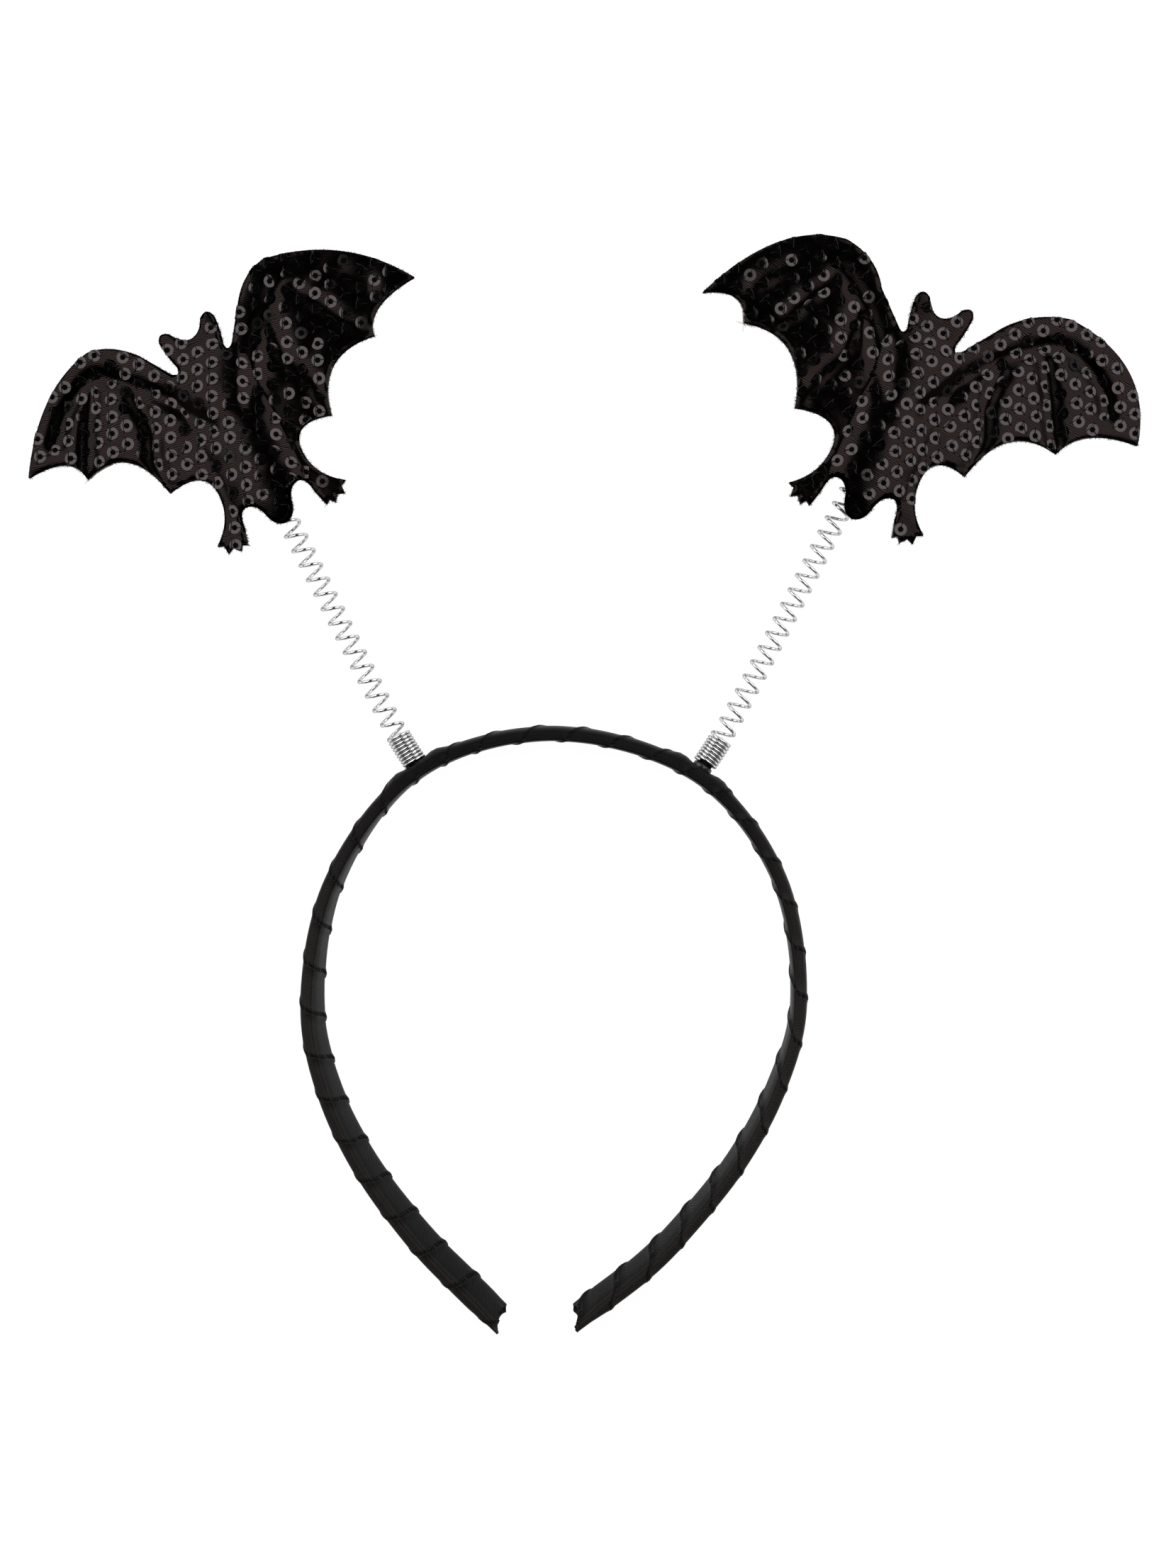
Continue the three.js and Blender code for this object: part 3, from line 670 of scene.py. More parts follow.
def strip_frame(distance):
    """Middle and directions of the strip at distances along the hoop, carried on past its ends."""
    inside = np.clip(distance, 0, HOOP.length)
    line = HOOP.at(inside)
    lean = line[..., 2:3]
    along = HOOP.heading(inside)
    along[..., 2] = 0
    along = unit(along)
    outward = np.stack([-along[..., 1], along[..., 0], np.zeros_like(inside)], axis=-1)
    middle = line * (1, 1, 0) + UP * section_reach(lean) + along * (distance - inside)[..., None]
    through = outward * np.cos(lean) - UP * np.sin(lean)
    across = UP * np.cos(lean) + outward * np.sin(lean)
    return middle + HOOP_CENTRE, through, across


def rounded(value):
    return np.sign(value) * np.abs(value) ** (2 / WRAP_SQUARENESS)


def pinch(distance):
    """Share of the full thickness that is left where the ribbon's mouth is pinched."""
    from_end = np.minimum(distance, HOOP.length - distance)
    return MOUTH_PINCH + (1 - MOUTH_PINCH) * smoothstep(from_end, 0, MOUTH_LENGTH)


def mouth(across, through):
    """Distance along the hoop at which the ribbon starts, at a point of its section."""
    hollow = np.sqrt(MOUTH_RADIUS**2 - np.minimum(np.abs(across), MOUTH_RADIUS / 2) ** 2)
    lip = MOUTH_LIP * (0.5 + across / WRAP_WIDTH)
    return hollow - MOUTH_RADIUS + MOUTH_BITE - lip - MOUTH_SLANT * through


def peg_axis(row):
    """Foot and direction of a bat's peg, and its distance along the hoop."""
    line = HOOP.points
    turned = np.degrees(np.arctan2(line[:, 0], line[:, 1]))
    distance = HOOP.reach[np.argmin(np.abs(turned - row["peg_angle"]))]
    foot = strip_frame(np.array(distance))[0]
    around = math.radians(row["peg_turn"])
    return foot, np.array([math.sin(around), math.cos(around), 0.0]), distance


def swell(distance, around):
    """Extra thickness of the ribbon beside the pegs, on the outer face."""
    extra = np.zeros_like(distance)
    for row in BATS:
        away = np.abs(distance - peg_axis(row)[2]) - PEG_SWELL_AT
        extra = np.maximum(extra, np.exp(-((away / PEG_SWELL_WIDTH) ** 2)))
    return PEG_SWELL * extra * np.clip(np.cos(around), 0, 1)


def ribbon_rows():
    """Rows of the wound grid, each as the turn that it belongs to and how far it stands proud."""
    rows = []
    for turn in range(WRAP_TURNS[0][0], WRAP_TURNS[-1][0]):
        rows += [(turn + along / WRAP_PITCH, proud) for along, proud in RIBBON_PROFILE]
    return np.array(rows[: -len(RIBBON_PROFILE) + 1])


def ribbon_places(start, share, proud):
    """Points of the wound ribbon, with the distances that they lie at and whether the mouth cuts them off."""
    slant = np.interp(start, *zip(*INNER_SLANT))
    outer = (1 - slant) * np.minimum(share, 0.5) / 0.5
    inner = slant * np.maximum(share - 0.5, 0) / 0.5
    distance = np.interp(start + outer + inner, *zip(*WRAP_TURNS))
    around = math.pi / 2 - FULL_TURN * share
    crease = np.exp(-(((share - CREASE_AT) / CREASE_WIDTH) ** 2))
    drawn_flat = UPPER_PROUD + (1 - UPPER_PROUD) * (1 - np.sin(around)) / 2
    stands = proud * drawn_flat - CREASE_DEPTH * crease + swell(distance, around)
    thick = WRAP_THICK / 2 * pinch(np.clip(distance, 0, HOOP.length)) + stands
    through = thick * rounded(np.cos(around))
    across = (WRAP_WIDTH / 2 + np.minimum(stands, WRAP_PROUD)) * rounded(np.sin(around))
    low = mouth(across, through)
    high = HOOP.length - low
    cut = (distance < low) | (distance > high)
    distance = np.clip(distance, low, high)
    middle, out, wide = strip_frame(distance)
    return middle + out * through[:, None] + wide * across[:, None], distance, cut


def wound_ribbon():
    """Ribbon wound in a true helix: one row of the grid follows the ribbon's edge round the hoop."""
    rows = ribbon_rows()
    bm = bmesh.new()
    bmesh.ops.create_grid(bm, x_segments=WRAP_SIDES, y_segments=len(rows) - 1, size=0.5)
    flat = corners_of(bm.verts)
    share = np.rint((flat[:, 0] + 0.5) * WRAP_SIDES) / WRAP_SIDES
    row = np.rint((flat[:, 1] + 0.5) * (len(rows) - 1)).astype(int)
    places, distance, cut = ribbon_places(rows[row, 0], share, rows[row, 1])
    unwrap(bm, "Ribbon", np.column_stack([share * WRAP_GIRTH, distance]))
    move(bm.verts, places)
    gone = [face for face in bm.faces if all(cut[vert.index] for vert in face.verts)]
    for bat in BATS:
        foot, direction, _ = peg_axis(bat)
        gone += [face for face in bm.faces if under_peg(face, Vector(foot), Vector(direction))]
    bmesh.ops.delete(bm, geom=list(set(gone)), context="FACES")
    bmesh.ops.remove_doubles(bm, verts=bm.verts, dist=1e-3)
    bmesh.ops.dissolve_degenerate(bm, edges=bm.edges, dist=1e-3)
    bmesh.ops.recalc_face_normals(bm, faces=bm.faces)
    bmesh.ops.solidify(bm, geom=bm.faces[:], thickness=WRAP_WALL)
    return mesh_from(bm, "ribbon")


def under_peg(face, foot, direction):
    arm = face.calc_center_median() - foot
    along = arm.dot(direction)
    return along > 0 and (arm - direction * along).length < PEG_COLLAR_RADIUS - PEG_RIM


def ladder_stitches():
    """Short stitches across each overlap of the ribbon, all round the strip."""
    rng = np.random.default_rng(LADDER_SEED)
    count = round(WRAP_GIRTH / LADDER_SPACING)
    turns = np.arange(WRAP_TURNS[0][0], WRAP_TURNS[-1][0] - 1)
    start, share = (grid.ravel() for grid in np.meshgrid(turns, (np.arange(count) + 0.5) / count))
    start = start + (LADDER_AT + rng.normal(0, LADDER_STRAY, len(share))) / WRAP_PITCH
    share = share + rng.normal(0, LADDER_STRAY_ROUND, len(share))
    steps = []
    dropped = np.zeros(len(share), bool)
    for along, proud in LADDER_PATH:
        turn = start + along * LADDER_LENGTH / WRAP_PITCH
        place, _, cut = ribbon_places(turn, share, np.full(len(share), proud))
        steps.append(place)
        dropped |= cut
    paths = np.stack(steps, axis=1)[~dropped]
    return threads("ribbon_stitches", paths, LADDER_RADIUS, roughly_up(len(paths), LADDER_ROLL, rng))


def core_strip():
    """Plastic strip inside the ribbon: a rounded section drawn along the hoop, closed at both ends."""
    bm = tube(CORE_STATIONS, CORE_SIDES)
    shape = corners_of(bm.verts)
    distance = MOUTH_LENGTH + (shape[:, 2] + 0.5) * (HOOP.length - 2 * MOUTH_LENGTH)
    middle, through, across = strip_frame(distance)
    places = middle + through * (CORE_HALF_THICK * rounded(shape[:, 0]))[:, None]
    move(bm.verts, places + across * (CORE_HALF_WIDTH * rounded(shape[:, 1]))[:, None])
    face_outwards(bm)
    return mesh_from(bm, "core")


def collar_profile(row):
    """Collar that stands through the ribbon, with a rounded rim and a neck inside the spring."""
    top, radius = row["collar"], PEG_COLLAR_RADIUS
    rim = [(radius, top - PEG_RIM), (radius - PEG_RIM_ROUND, top - PEG_RIM_ROUND), (radius - PEG_RIM, top)]
    neck = [(PEG_NECK_RADIUS, top), (PEG_NECK_RADIUS, top + PEG_NECK_HEIGHT)]
    return [(0, PEG_COLLAR_FOOT), (radius, PEG_COLLAR_FOOT), *rim, *neck, (0, top + PEG_NECK_HEIGHT)]


def post_profile(row):
    """Domed post on the collar, which stands a little out of the spring's base."""
    radius, foot = PEG_POST_RADIUS, row["collar"] - PEG_POST_SUNK
    shoulder = row["collar"] + WIRE / 2 + row["base_turns"] * BASE_PITCH + PEG_POST_PROUD - radius
    arc = [math.radians(step) for step in PEG_DOME]
    dome = [(radius * math.cos(angle), shoulder + radius * math.sin(angle)) for angle in arc]
    return [(0, foot), (radius, foot), *dome, (0, shoulder + radius)]


def on_peg(name, profile, row):
    """A profile of radius, height spun about a bat's peg."""
    bm = spun(profile, PEG_STEPS)
    foot, direction, _ = peg_axis(row)
    turn = Vector(UP).rotation_difference(Vector(direction)).to_matrix()
    bmesh.ops.rotate(bm, verts=bm.verts, cent=(0, 0, 0), matrix=turn)
    bmesh.ops.translate(bm, verts=bm.verts, vec=Vector(foot))
    return mesh_from(bm, f"{name}_{row['side']}")


# Bats


class Bat:
    """One bat's outline and padding, in its own flat frame with the felt's underside at zero."""

    def __init__(self, row):
        self.row = row
        self.side = row["side"]
        self.loop = self.outline()
        self.edge = Route(closed(self.loop))
        self.valleys = self.valley_lines()
        pitch = math.radians(row["pitch"])
        turn = Euler((pitch, math.radians(row["roll"]), math.radians(row["turn"])), "XYZ")
        lift = TAB_DEPTH + TAB_LIFT - TAB_Y * math.sin(pitch)
        self.turn = np.array(turn.to_matrix())
        self.origin = np.array([*row["place"], lift]) + HOOP_CENTRE

    def stretched(self, points, sign):
        """Points of half a bat as they lie in this one."""
        points = np.asarray(points, float)
        along = points[:, 1] * self.row["stretch"]
        return np.stack([sign * points[:, 0] + self.row["skew"] * along, along], axis=1)

    def half_outline(self, sign):
        wing = self.row["wings"][sign]
        rows = [wing[row] if isinstance(row, str) else row for row in OUTLINE]
        points = [np.array([rows[0][0]], float)]
        for point, bend in rows[1:]:
            start = points[-1][-1]
            middle = (start + point) / 2 if bend is None else bend
            reach = np.linalg.norm(np.subtract(middle, start)) + np.linalg.norm(np.subtract(point, middle))
            steps = max(1, round(reach / OUTLINE_STEP))
            points.append(bezier(start, middle, point, np.arange(1, steps + 1) / steps))
        return self.stretched(np.vstack(points), sign)

    def outline(self):
        left = self.half_outline(-1)
        right = self.half_outline(1)
        return np.vstack([left[:-1], right[:0:-1]])

    def valley_lines(self):
        """Lines of the pressed valleys, each with its depth."""
        lines = []
        for sign, wing in self.row["wings"].items():
            (hump, _), (tip, lead) = wing["hump"], wing["tip"]
            arm = bezier(hump, lead, tip, ARM_STOPS)
            arm = arm + (PALM - arm) * ARM_DRAWN_IN
            fingers = [[*finger, wing[point][0]] for point, finger in FINGERS.items()]
            for line in [[*ARM_START, *arm], *fingers]:
                lines.append((self.stretched(smooth_curve(line, VALLEY_STEPS), sign), wing["valley"]))
        return lines

    def from_edge(self, points):
        """Distance in from the outline, below zero outside it."""
        away = line_distance(points, self.edge.points)
        return np.where(inside_loop(points, self.loop), away, -away)

    def rise(self, points, rimmed=True):
        """Height of the cloth's face above the felt's underside, with or without its rounded rim."""
        out = np.abs(points[:, 0] - self.row["skew"] * points[:, 1])
        along = points[:, 1] / self.row["stretch"]
        body = np.clip(1 - (out / BODY_HALF_WIDTH) ** 2, 0, 1) ** BODY_FULLNESS
        ends = np.clip(1 - ((2 * along - BODY_TOP - BODY_FOOT) / (BODY_TOP - BODY_FOOT)) ** 4, 0, 1)
        wing = PUFF_THICK * (1 - PUFF_LOST * smoothstep(out, *PUFF_THINS))
        valley = np.zeros(len(points))
        for line, depth in self.valleys:
            valley = np.maximum(valley, depth * np.exp(-((line_distance(points, line) / VALLEY_WIDTH) ** 2)))
        swing = LUMP_SWING * np.sin(LUMP_SWING_ALONG * along)
        lumps = np.sin(LUMP_ACROSS * points[:, 0] + swing) * np.sin(LUMP_ALONG * along + LUMP_START)
        padding = wing + BODY_THICK * body * ends - valley + LUMP_HEIGHT * lumps
        if rimmed:
            rim = np.clip(self.from_edge(points) / PUFF_REACH, 0, 1)
            padding = padding * np.sqrt(rim * (2 - rim))
        return CLOTH_BASE + CLOTH_EDGE + padding - self.droop(points)

    def droop(self, points):
        fall = np.hypot(points[:, 0], WING_RIDGE) - WING_RIDGE
        return WING_DROOP * fall / (math.hypot(WING_SPAN, WING_RIDGE) - WING_RIDGE)

    def slope(self, points):
        """Unit normals of the cloth's face without its rim, read over the width of a ring."""
        east, north = SLOPE_REACH * np.eye(2)
        rise_x = self.rise(points + east, False) - self.rise(points - east, False)
        rise_y = self.rise(points + north, False) - self.rise(points - north, False)
        return unit(np.stack([-rise_x, -rise_y, np.full(len(points), 2 * SLOPE_REACH)], axis=1))

    def trimmed(self, points):
        """Points of the bat's own frame, with those past the cut edge drawn back to it."""
        kept = np.array(points).reshape(-1, 3)
        past = ~inside_loop(kept[:, :2], self.loop)
        kept[past, :2] = nearest_on(kept[past, :2], self.edge.points)[0]
        return kept.reshape(points.shape)

    def placed(self, points):
        """Points of the bat's own frame in the row frame."""
        return points @ self.turn.T + self.origin


def filled_outline(loop, spacing):
    """Flat sheet of even triangles inside a loop."""
    low, high = loop.min(axis=0), loop.max(axis=0)
    columns = np.arange(low[0], high[0], spacing)
    rows = np.arange(low[1], high[1], spacing * math.sqrt(0.75))
    x, y = np.meshgrid(columns, rows)
    x[1::2] += spacing / 2
    grid = np.stack([x.ravel(), y.ravel()], axis=1)
    grid = grid[inside_loop(grid, loop)]
    grid = grid[line_distance(grid, closed(loop)) > EDGE_CLEAR * spacing]
    points = [Vector(point) for point in np.vstack([loop, grid])]
    found = delaunay_2d_cdt(points, [], [list(range(len(loop)))], 1, 1e-6)
    bm = bmesh.new()
    verts = [bm.verts.new((*point, 0)) for point in found[0]]
    for face in found[2]:
        bm.faces.new([verts[index] for index in face])
    bmesh.ops.recalc_face_normals(bm, faces=bm.faces)
    return bm


def layer(bm, bat, name, bottom, top):
    """Closed layer between two heights, from a flat sheet, set in its place."""
    lower = bm.verts[:]
    upper = verts_in(bmesh.ops.extrude_face_region(bm, geom=bm.faces[:], use_keep_orig=True)["geom"])
    for verts, height in ((lower, bottom), (upper, top)):
        flat = corners_of(verts)
        flat[:, 2] = height(flat[:, :2])
        move(verts, bat.placed(flat))
    face_outwards(bm)
    for edge in bm.edges:
        edge.smooth = edge.calc_face_angle(0) < CUT_EDGE
    return mesh_from(bm, f"{name}_{bat.side}")


def cloth(bat):
    bm = filled_outline(bat.loop, CLOTH_SPACING)
    unwrap(bm, "Cloth", corners_of(bm.verts)[:, :2])
    return layer(bm, bat, "cloth", lambda flat: CLOTH_BASE - bat.droop(flat), bat.rise)


def felt_backing(bat):
    edge = unit(np.roll(bat.loop, -1, axis=0) - np.roll(bat.loop, 1, axis=0))
    bm = filled_outline(bat.loop - FELT_INSET * right_of(edge), FELT_SPACING)
    return layer(bm, bat, "felt", lambda flat: -bat.droop(flat), lambda flat: FELT_THICK - bat.droop(flat))


def crossing_way(pair):
    """Direction from a ring's middle to the middle of a crossing thread."""
    return math.radians((pair[0] + pair[1]) / 2)


class Rings:
    """The rings of one bat, with each one's middle, two flat directions and normal in the bat's frame."""

    def __init__(self, bat, rng):
        self.bat = bat
        flat = self.lattice(rng)
        self.count = len(flat)
        lean = np.radians(rng.normal(0, RING_TILT, (self.count, 2)))
        self.normal = unit(bat.slope(flat) + np.column_stack([lean, np.zeros(self.count)]))
        east = unit(np.cross(np.array([0.0, 1.0, 0.0]), self.normal))
        self.axes = np.stack([east, np.cross(self.normal, east), self.normal], axis=1)
        self.middle = np.column_stack([flat, bat.rise(flat)]) + self.normal * RING_LIFT
        # Place in the list of the crossing thread that cuts each ring, past the list's end for none
        self.crossing = np.searchsorted(np.cumsum(bat.row["crossings"]), rng.uniform(0, 1, self.count))

    def lattice(self, rng):
        """Places of the rings on the cloth."""
        steps = np.array(self.bat.row["ring_steps"])
        count = np.arange(-RING_ROWS, RING_ROWS + 1)
        across, down = (grid.reshape(-1, 1) for grid in np.meshgrid(count, count))
        flat = np.array(self.bat.row["ring_start"]) + across * steps[0] + down * steps[1]
        flat = flat + rng.normal(0, RING_JITTER, flat.shape)
        return flat[self.bat.from_edge(flat) > RING_MARGIN]

    def spread(self, corners, chosen=slice(None)):
        """Corners in each ring's own directions, set on the bat and drawn back at the cloth's edge."""
        places = self.middle[chosen][:, None] + corners @ self.axes[chosen]
        return self.bat.placed(self.bat.trimmed(places))

    def sequins(self, rng):
        """Thin flat rings. The part beyond a crossing thread is bent down a little."""
        section = [(RING_HOLE, 0), (RING_OUTER, 0), ((RING_OUTER + RING_HOLE) / 2, -RING_DEPTH)]
        corners, faces = template(spun(section, RING_SEGMENTS, ring=True))
        places = np.tile(corners, (self.count, 1, 1))
        bend = np.tan(np.radians(rng.normal(PRESSED, PRESSED / 2, self.count)))
        for index, pair in enumerate(CROSSINGS):
            way = crossing_way(pair)
            beyond = corners[:, 0] * math.cos(way) + corners[:, 1] * math.sin(way) - CROSSING_AT
            places[:, :, 2] -= np.where(self.crossing == index, bend, 0)[:, None] * np.maximum(beyond, 0)
        return repeated(f"sequins_{self.bat.side}", self.spread(places), faces, smooth=False)

    def stitches(self, rng):
        """Threads that hold each ring, from its hole over the ring into the cloth, and any that cross it."""
        along, height = np.array(STITCH_PATH).T
        clear = np.minimum(1, along / RING_HOLE)
        size = (self.count, 1)
        paths, ups = [], []
        for angle in STITCH_ANGLES:
            turned = np.radians(angle + rng.normal(0, STITCH_STRAY, size))
            aside = rng.normal(0, STITCH_SLEW, size) * clear
            rise = STITCH_RISE * rng.uniform(*STITCH_RISES, size)
            reach = rng.uniform(*STITCH_REACHES, size)
            kept = rng.uniform(0, 1, self.count) < STITCH_KEPT
            path = polar(turned, along * reach, aside, height * rise)
            paths.append(self.spread(path[kept], kept))
            ups.append(self.normal[kept])
        for index, pair in enumerate(CROSSINGS):
            chosen = self.crossing == index
            size = (np.count_nonzero(chosen), 1)
            bowed = CROSSING_AT + rng.normal(0, CROSSING_BOW, size)
            first, last = (np.radians(angle + rng.normal(0, CROSSING_STRAY, size)) for angle in pair)
            way, far, rim = (np.full(size, value) for value in (crossing_way(pair), STITCH_REACH, RING_OUTER))
            angles = np.hstack([first, first, way, last, last])
            path = polar(angles, np.hstack([far, rim, bowed, rim, far]), 0, STITCH_RISE * CROSSING_RISES)
            paths.append(self.spread(path, chosen))
            ups.append(self.normal[chosen])
        paths = np.concatenate(paths)
        radius = STITCH_RADIUS * rng.uniform(*STITCH_WIDTHS, len(paths))
        up = np.concatenate(ups) @ self.bat.turn.T
        return threads(f"threads_{self.bat.side}", paths, radius, up, sides=5)

    def knots(self, rng):
        """Flat knot of thread in the hole of each ring, wide enough to fill it: a real knot that is also
        painted shade in the hole.
        """
        bm = bmesh.new()
        bmesh.ops.create_uvsphere(bm, u_segments=KNOT_SIDES, v_segments=KNOT_BANDS, radius=KNOT_RADIUS)
        corners, faces = template(bm)
        corners = corners * (1, 1, KNOT_HEIGHT / KNOT_RADIUS)
        shift = rng.normal(0, KNOT_STRAY, (self.count, 2))
        size = rng.uniform(*KNOT_SIZES, (self.count, 1, 1))
        seat = np.column_stack([shift, np.full(self.count, -RING_LIFT)])
        return repeated(f"knots_{self.bat.side}", self.spread(seat[:, None] + corners * size), faces)


def edge_fibres(bat, rng):
    """Loose fibres along the cut edge of the cloth."""
    count = round(bat.edge.length * FIBRES_PER_MM)
    start = rng.uniform(0, bat.edge.length, count)
    heading = bat.edge.heading(start)
    outward = right_of(heading)
    foot = bat.edge.at(start) - outward * FIBRE_ROOT
    reach = rng.uniform(*FIBRE_LENGTH, (count, 1))
    slew = rng.normal(0, FIBRE_SLEW, (count, 1))
    curl = rng.normal(0, FIBRE_CURL, (count, 1))
    base = CLOTH_BASE - bat.droop(foot) + rng.uniform(*FIBRE_BASE, count)
    lift = rng.normal(*FIBRE_LIFT, count)
    steps = []
    for share in FIBRE_STOPS:
        bowed = slew * share + curl * share * share
        flat = foot + (outward * share + heading * bowed) * reach
        steps.append(np.column_stack([flat, base + lift * share * reach[:, 0]]))
    paths = bat.placed(np.stack(steps, axis=1))
    up = roughly_up(count, FIBRE_ROLL, rng)
    radius = FIBRE_RADIUS * rng.uniform(*FIBRE_WIDTHS, count)
    return threads(f"edge_fibres_{bat.side}", paths, radius, up, sides=3)


def wadding(bat, rng):
    """Pale filling that shows between the cloth and the felt at one place on the edge."""
    count, size = WADDING_COUNT, (WADDING_COUNT, 1)
    near = bat.edge.reach[np.argmin(np.sum((bat.edge.points - bat.row["wadding"]) ** 2, axis=1))]
    start = near + rng.normal(0, WADDING_SPREAD, count)
    heading = bat.edge.heading(start)
    outward = right_of(heading)
    foot = bat.edge.at(start) + outward * rng.normal(0, WADDING_DEPTH, size)
    run = rng.normal(0, WADDING_RUN, size)
    height = CLOTH_BASE - bat.droop(foot) + rng.uniform(*WADDING_BASE, count)
    steps = []
    for share in WADDING_STOPS:
        flat = foot + heading * run * share + outward * rng.normal(0, WADDING_WAVER, size)
        steps.append(np.column_stack([flat, height + rng.normal(0, WADDING_WAVER_UP, count)]))
    paths = bat.placed(np.stack(steps, axis=1))
    up = roughly_up(count, FIBRE_ROLL, rng)
    return threads(f"wadding_{bat.side}", paths, WADDING_RADIUS, up, sides=3)


def tab_profile():
    """Section of the felt tab: a saddle with a flange on each side."""
    inner = COIL_OUTER + GAP
    outer = inner + TAB_THICK
    arc = [math.radians(step) for step in range(180, 361, TAB_ARC_STEP)]
    high, low = -FLANGE_DEPTH, -FLANGE_DEPTH - TAB_THICK
    profile = [(-TAB_HALF_WIDTH, high), (-TAB_HALF_WIDTH, low), (-outer, low)]
    profile += [(outer * math.cos(angle), -COIL_DEPTH + outer * math.sin(angle)) for angle in arc]
    profile += [(outer, low), (TAB_HALF_WIDTH, low), (TAB_HALF_WIDTH, high), (inner, high)]
    profile += [(inner * math.cos(angle), -COIL_DEPTH + inner * math.sin(angle)) for angle in arc[::-1]]
    return [*profile, (-inner, high)]


def felt_tab(bat):
    """Saddle of felt under the spring's last turns, with two flanges against the backing."""
    bm = bmesh.new()
    face = bm.faces.new([bm.verts.new((x, -TAB_LENGTH / 2, z)) for x, z in tab_profile()])
    far = verts_in(bmesh.ops.extrude_face_region(bm, geom=[face], use_keep_orig=True)["geom"])
    bmesh.ops.translate(bm, verts=far, vec=(0, TAB_LENGTH, 0))
    face_outwards(bm)
    rims = [edge for edge in bm.edges if edge.verts[0].co.y == edge.verts[1].co.y]
    bmesh.ops.bevel(bm, geom=rims, offset=TAB_BEVEL, affect="EDGES", segments=2, profile=0.5, material=-1)
    slant = (bat.row["end_x"] - bat.row["tail_x"]) / (TAB_Y + TAB_LENGTH / 2 - TAIL_Y)
    turn = Matrix.Rotation(-math.atan(slant), 3, "Z")
    bmesh.ops.rotate(bm, verts=bm.verts, cent=(0, 0, 0), matrix=turn)
    shift = np.array([bat.row["tail_x"] + slant * (TAB_Y - TAIL_Y), TAB_Y, 0])
    move(bm.verts, bat.placed(corners_of(bm.verts) + shift))
    return mesh_from(bm, f"felt_tab_{bat.side}")


# Springs


def spring_axis(bat):
    """Line of a spring's middle, the top of its base coil and its place at the bat's tail."""
    foot, direction, _ = peg_axis(bat.row)
    start = foot + direction * (bat.row["collar"] + WIRE / 2)
    base_top = start + direction * bat.row["base_turns"] * BASE_PITCH
    tail = bat.placed(np.array([bat.row["tail_x"], TAIL_Y, -COIL_DEPTH]))
    end = bat.placed(np.array([bat.row["end_x"], TAB_Y + TAB_LENGTH / 2, -COIL_DEPTH]))
    return Route(smooth_curve([start, base_top, tail, end], AXIS_STEPS)), base_top, tail


def straight_coil(phase, stretches):
    """Wire wound about +Z, with its stretches given as turns, pitch."""
    bm = bmesh.new()
    ring = bmesh.ops.create_circle(bm, segments=WIRE_SIDES, radius=WIRE / 2)["verts"]
    bmesh.ops.rotate(bm, verts=ring, cent=(0, 0, 0), matrix=Matrix.Rotation(math.pi / 2, 3, "X"))
    bmesh.ops.translate(bm, verts=ring, vec=(BASE_RADIUS, 0, 0))
    bmesh.ops.rotate(bm, verts=ring, cent=(0, 0, 0), matrix=Matrix.Rotation(FULL_TURN * phase, 3, "Z"))
    bm.faces.new(ring)
    front = ring + list({edge for vert in ring for edge in vert.link_edges})
    for turns, pitch in stretches:
        steps = round(turns * COIL_STEPS)
        climb = (0, 0, turns * pitch / steps)
        angle = FULL_TURN * turns
        drawn = bmesh.ops.spin(bm, geom=front, axis=(0, 0, 1), dvec=climb, angle=angle, steps=steps)
        front = drawn["geom_last"]
    bm.faces.new(verts_in(front))
    return bm


def spring_wire(bat):
    """Wire wound in a straight coil, close at its base and then open, and bent along its axis."""
    axis, _, _ = spring_axis(bat)
    base_turns = bat.row["base_turns"]
    base_length = base_turns * BASE_PITCH
    open_turns = (axis.length - base_length) / OPEN_PITCH
    bm = straight_coil(bat.row["coil_phase"], [(base_turns, BASE_PITCH), (open_turns, OPEN_PITCH)])
    coil = corners_of(bm.verts)
    narrow = (BASE_RADIUS - OPEN_RADIUS) * smoothstep(coil[:, 2], base_length, base_length + OPEN_PITCH / 2)
    radius = np.hypot(coil[:, 0], coil[:, 1])
    coil[:, :2] *= ((radius - narrow) / radius)[:, None]
    along = axis.heading(np.clip(coil[:, 2], 0, axis.length))
    side = unit(np.cross(along, UP))
    over = np.cross(side, along)
    past = np.minimum(coil[:, 2], 0) + np.maximum(coil[:, 2] - axis.length, 0)
    places = axis.at(coil[:, 2]) + along * past[:, None] + side * coil[:, 0:1] + over * coil[:, 1:2]
    move(bm.verts, places)
    face_outwards(bm)
    return mesh_from(bm, f"spring_wire_{bat.side}")


# Finishes


class Nodes:
    """A node tree, with short ways to add nodes. An input is set, or joined where it is given an output."""

    def __init__(self, tree):
        self.tree = tree

    def feed(self, socket, value):
        if isinstance(value, bpy.types.NodeSocket):
            self.tree.links.new(value, socket)
        else:
            socket.default_value = value

    def feed_all(self, node, inputs):
        for name, value in inputs.items():
            self.feed(node.inputs[name.replace("_", " ")], value)

    def add(self, kind, settings=None, **inputs):
        node = self.tree.nodes.new("ShaderNode" + kind)
        for name, value in (settings or {}).items():
            setattr(node, name, value)
        self.feed_all(node, inputs)
        return node.outputs

    def maths(self, operation, *values):
        node = self.tree.nodes.new("ShaderNodeMath")
        node.operation = operation
        for socket, value in zip(node.inputs, values):
            self.feed(socket, value)
        return node.outputs["Value"]

    def ranged(self, value, kind="LINEAR", **limits):
        return self.add("MapRange", {"interpolation_type": kind}, Value=value, **limits)["Result"]

    def mixed(self, share, first, second):
        return self.add("Mix", {"data_type": "RGBA"}, Factor=share, A=first, B=second)["Result"]

    def noise(self, place, scale, detail, **inputs):
        return self.add("TexNoise", Vector=place, Scale=scale, Detail=detail, **inputs)["Fac"]


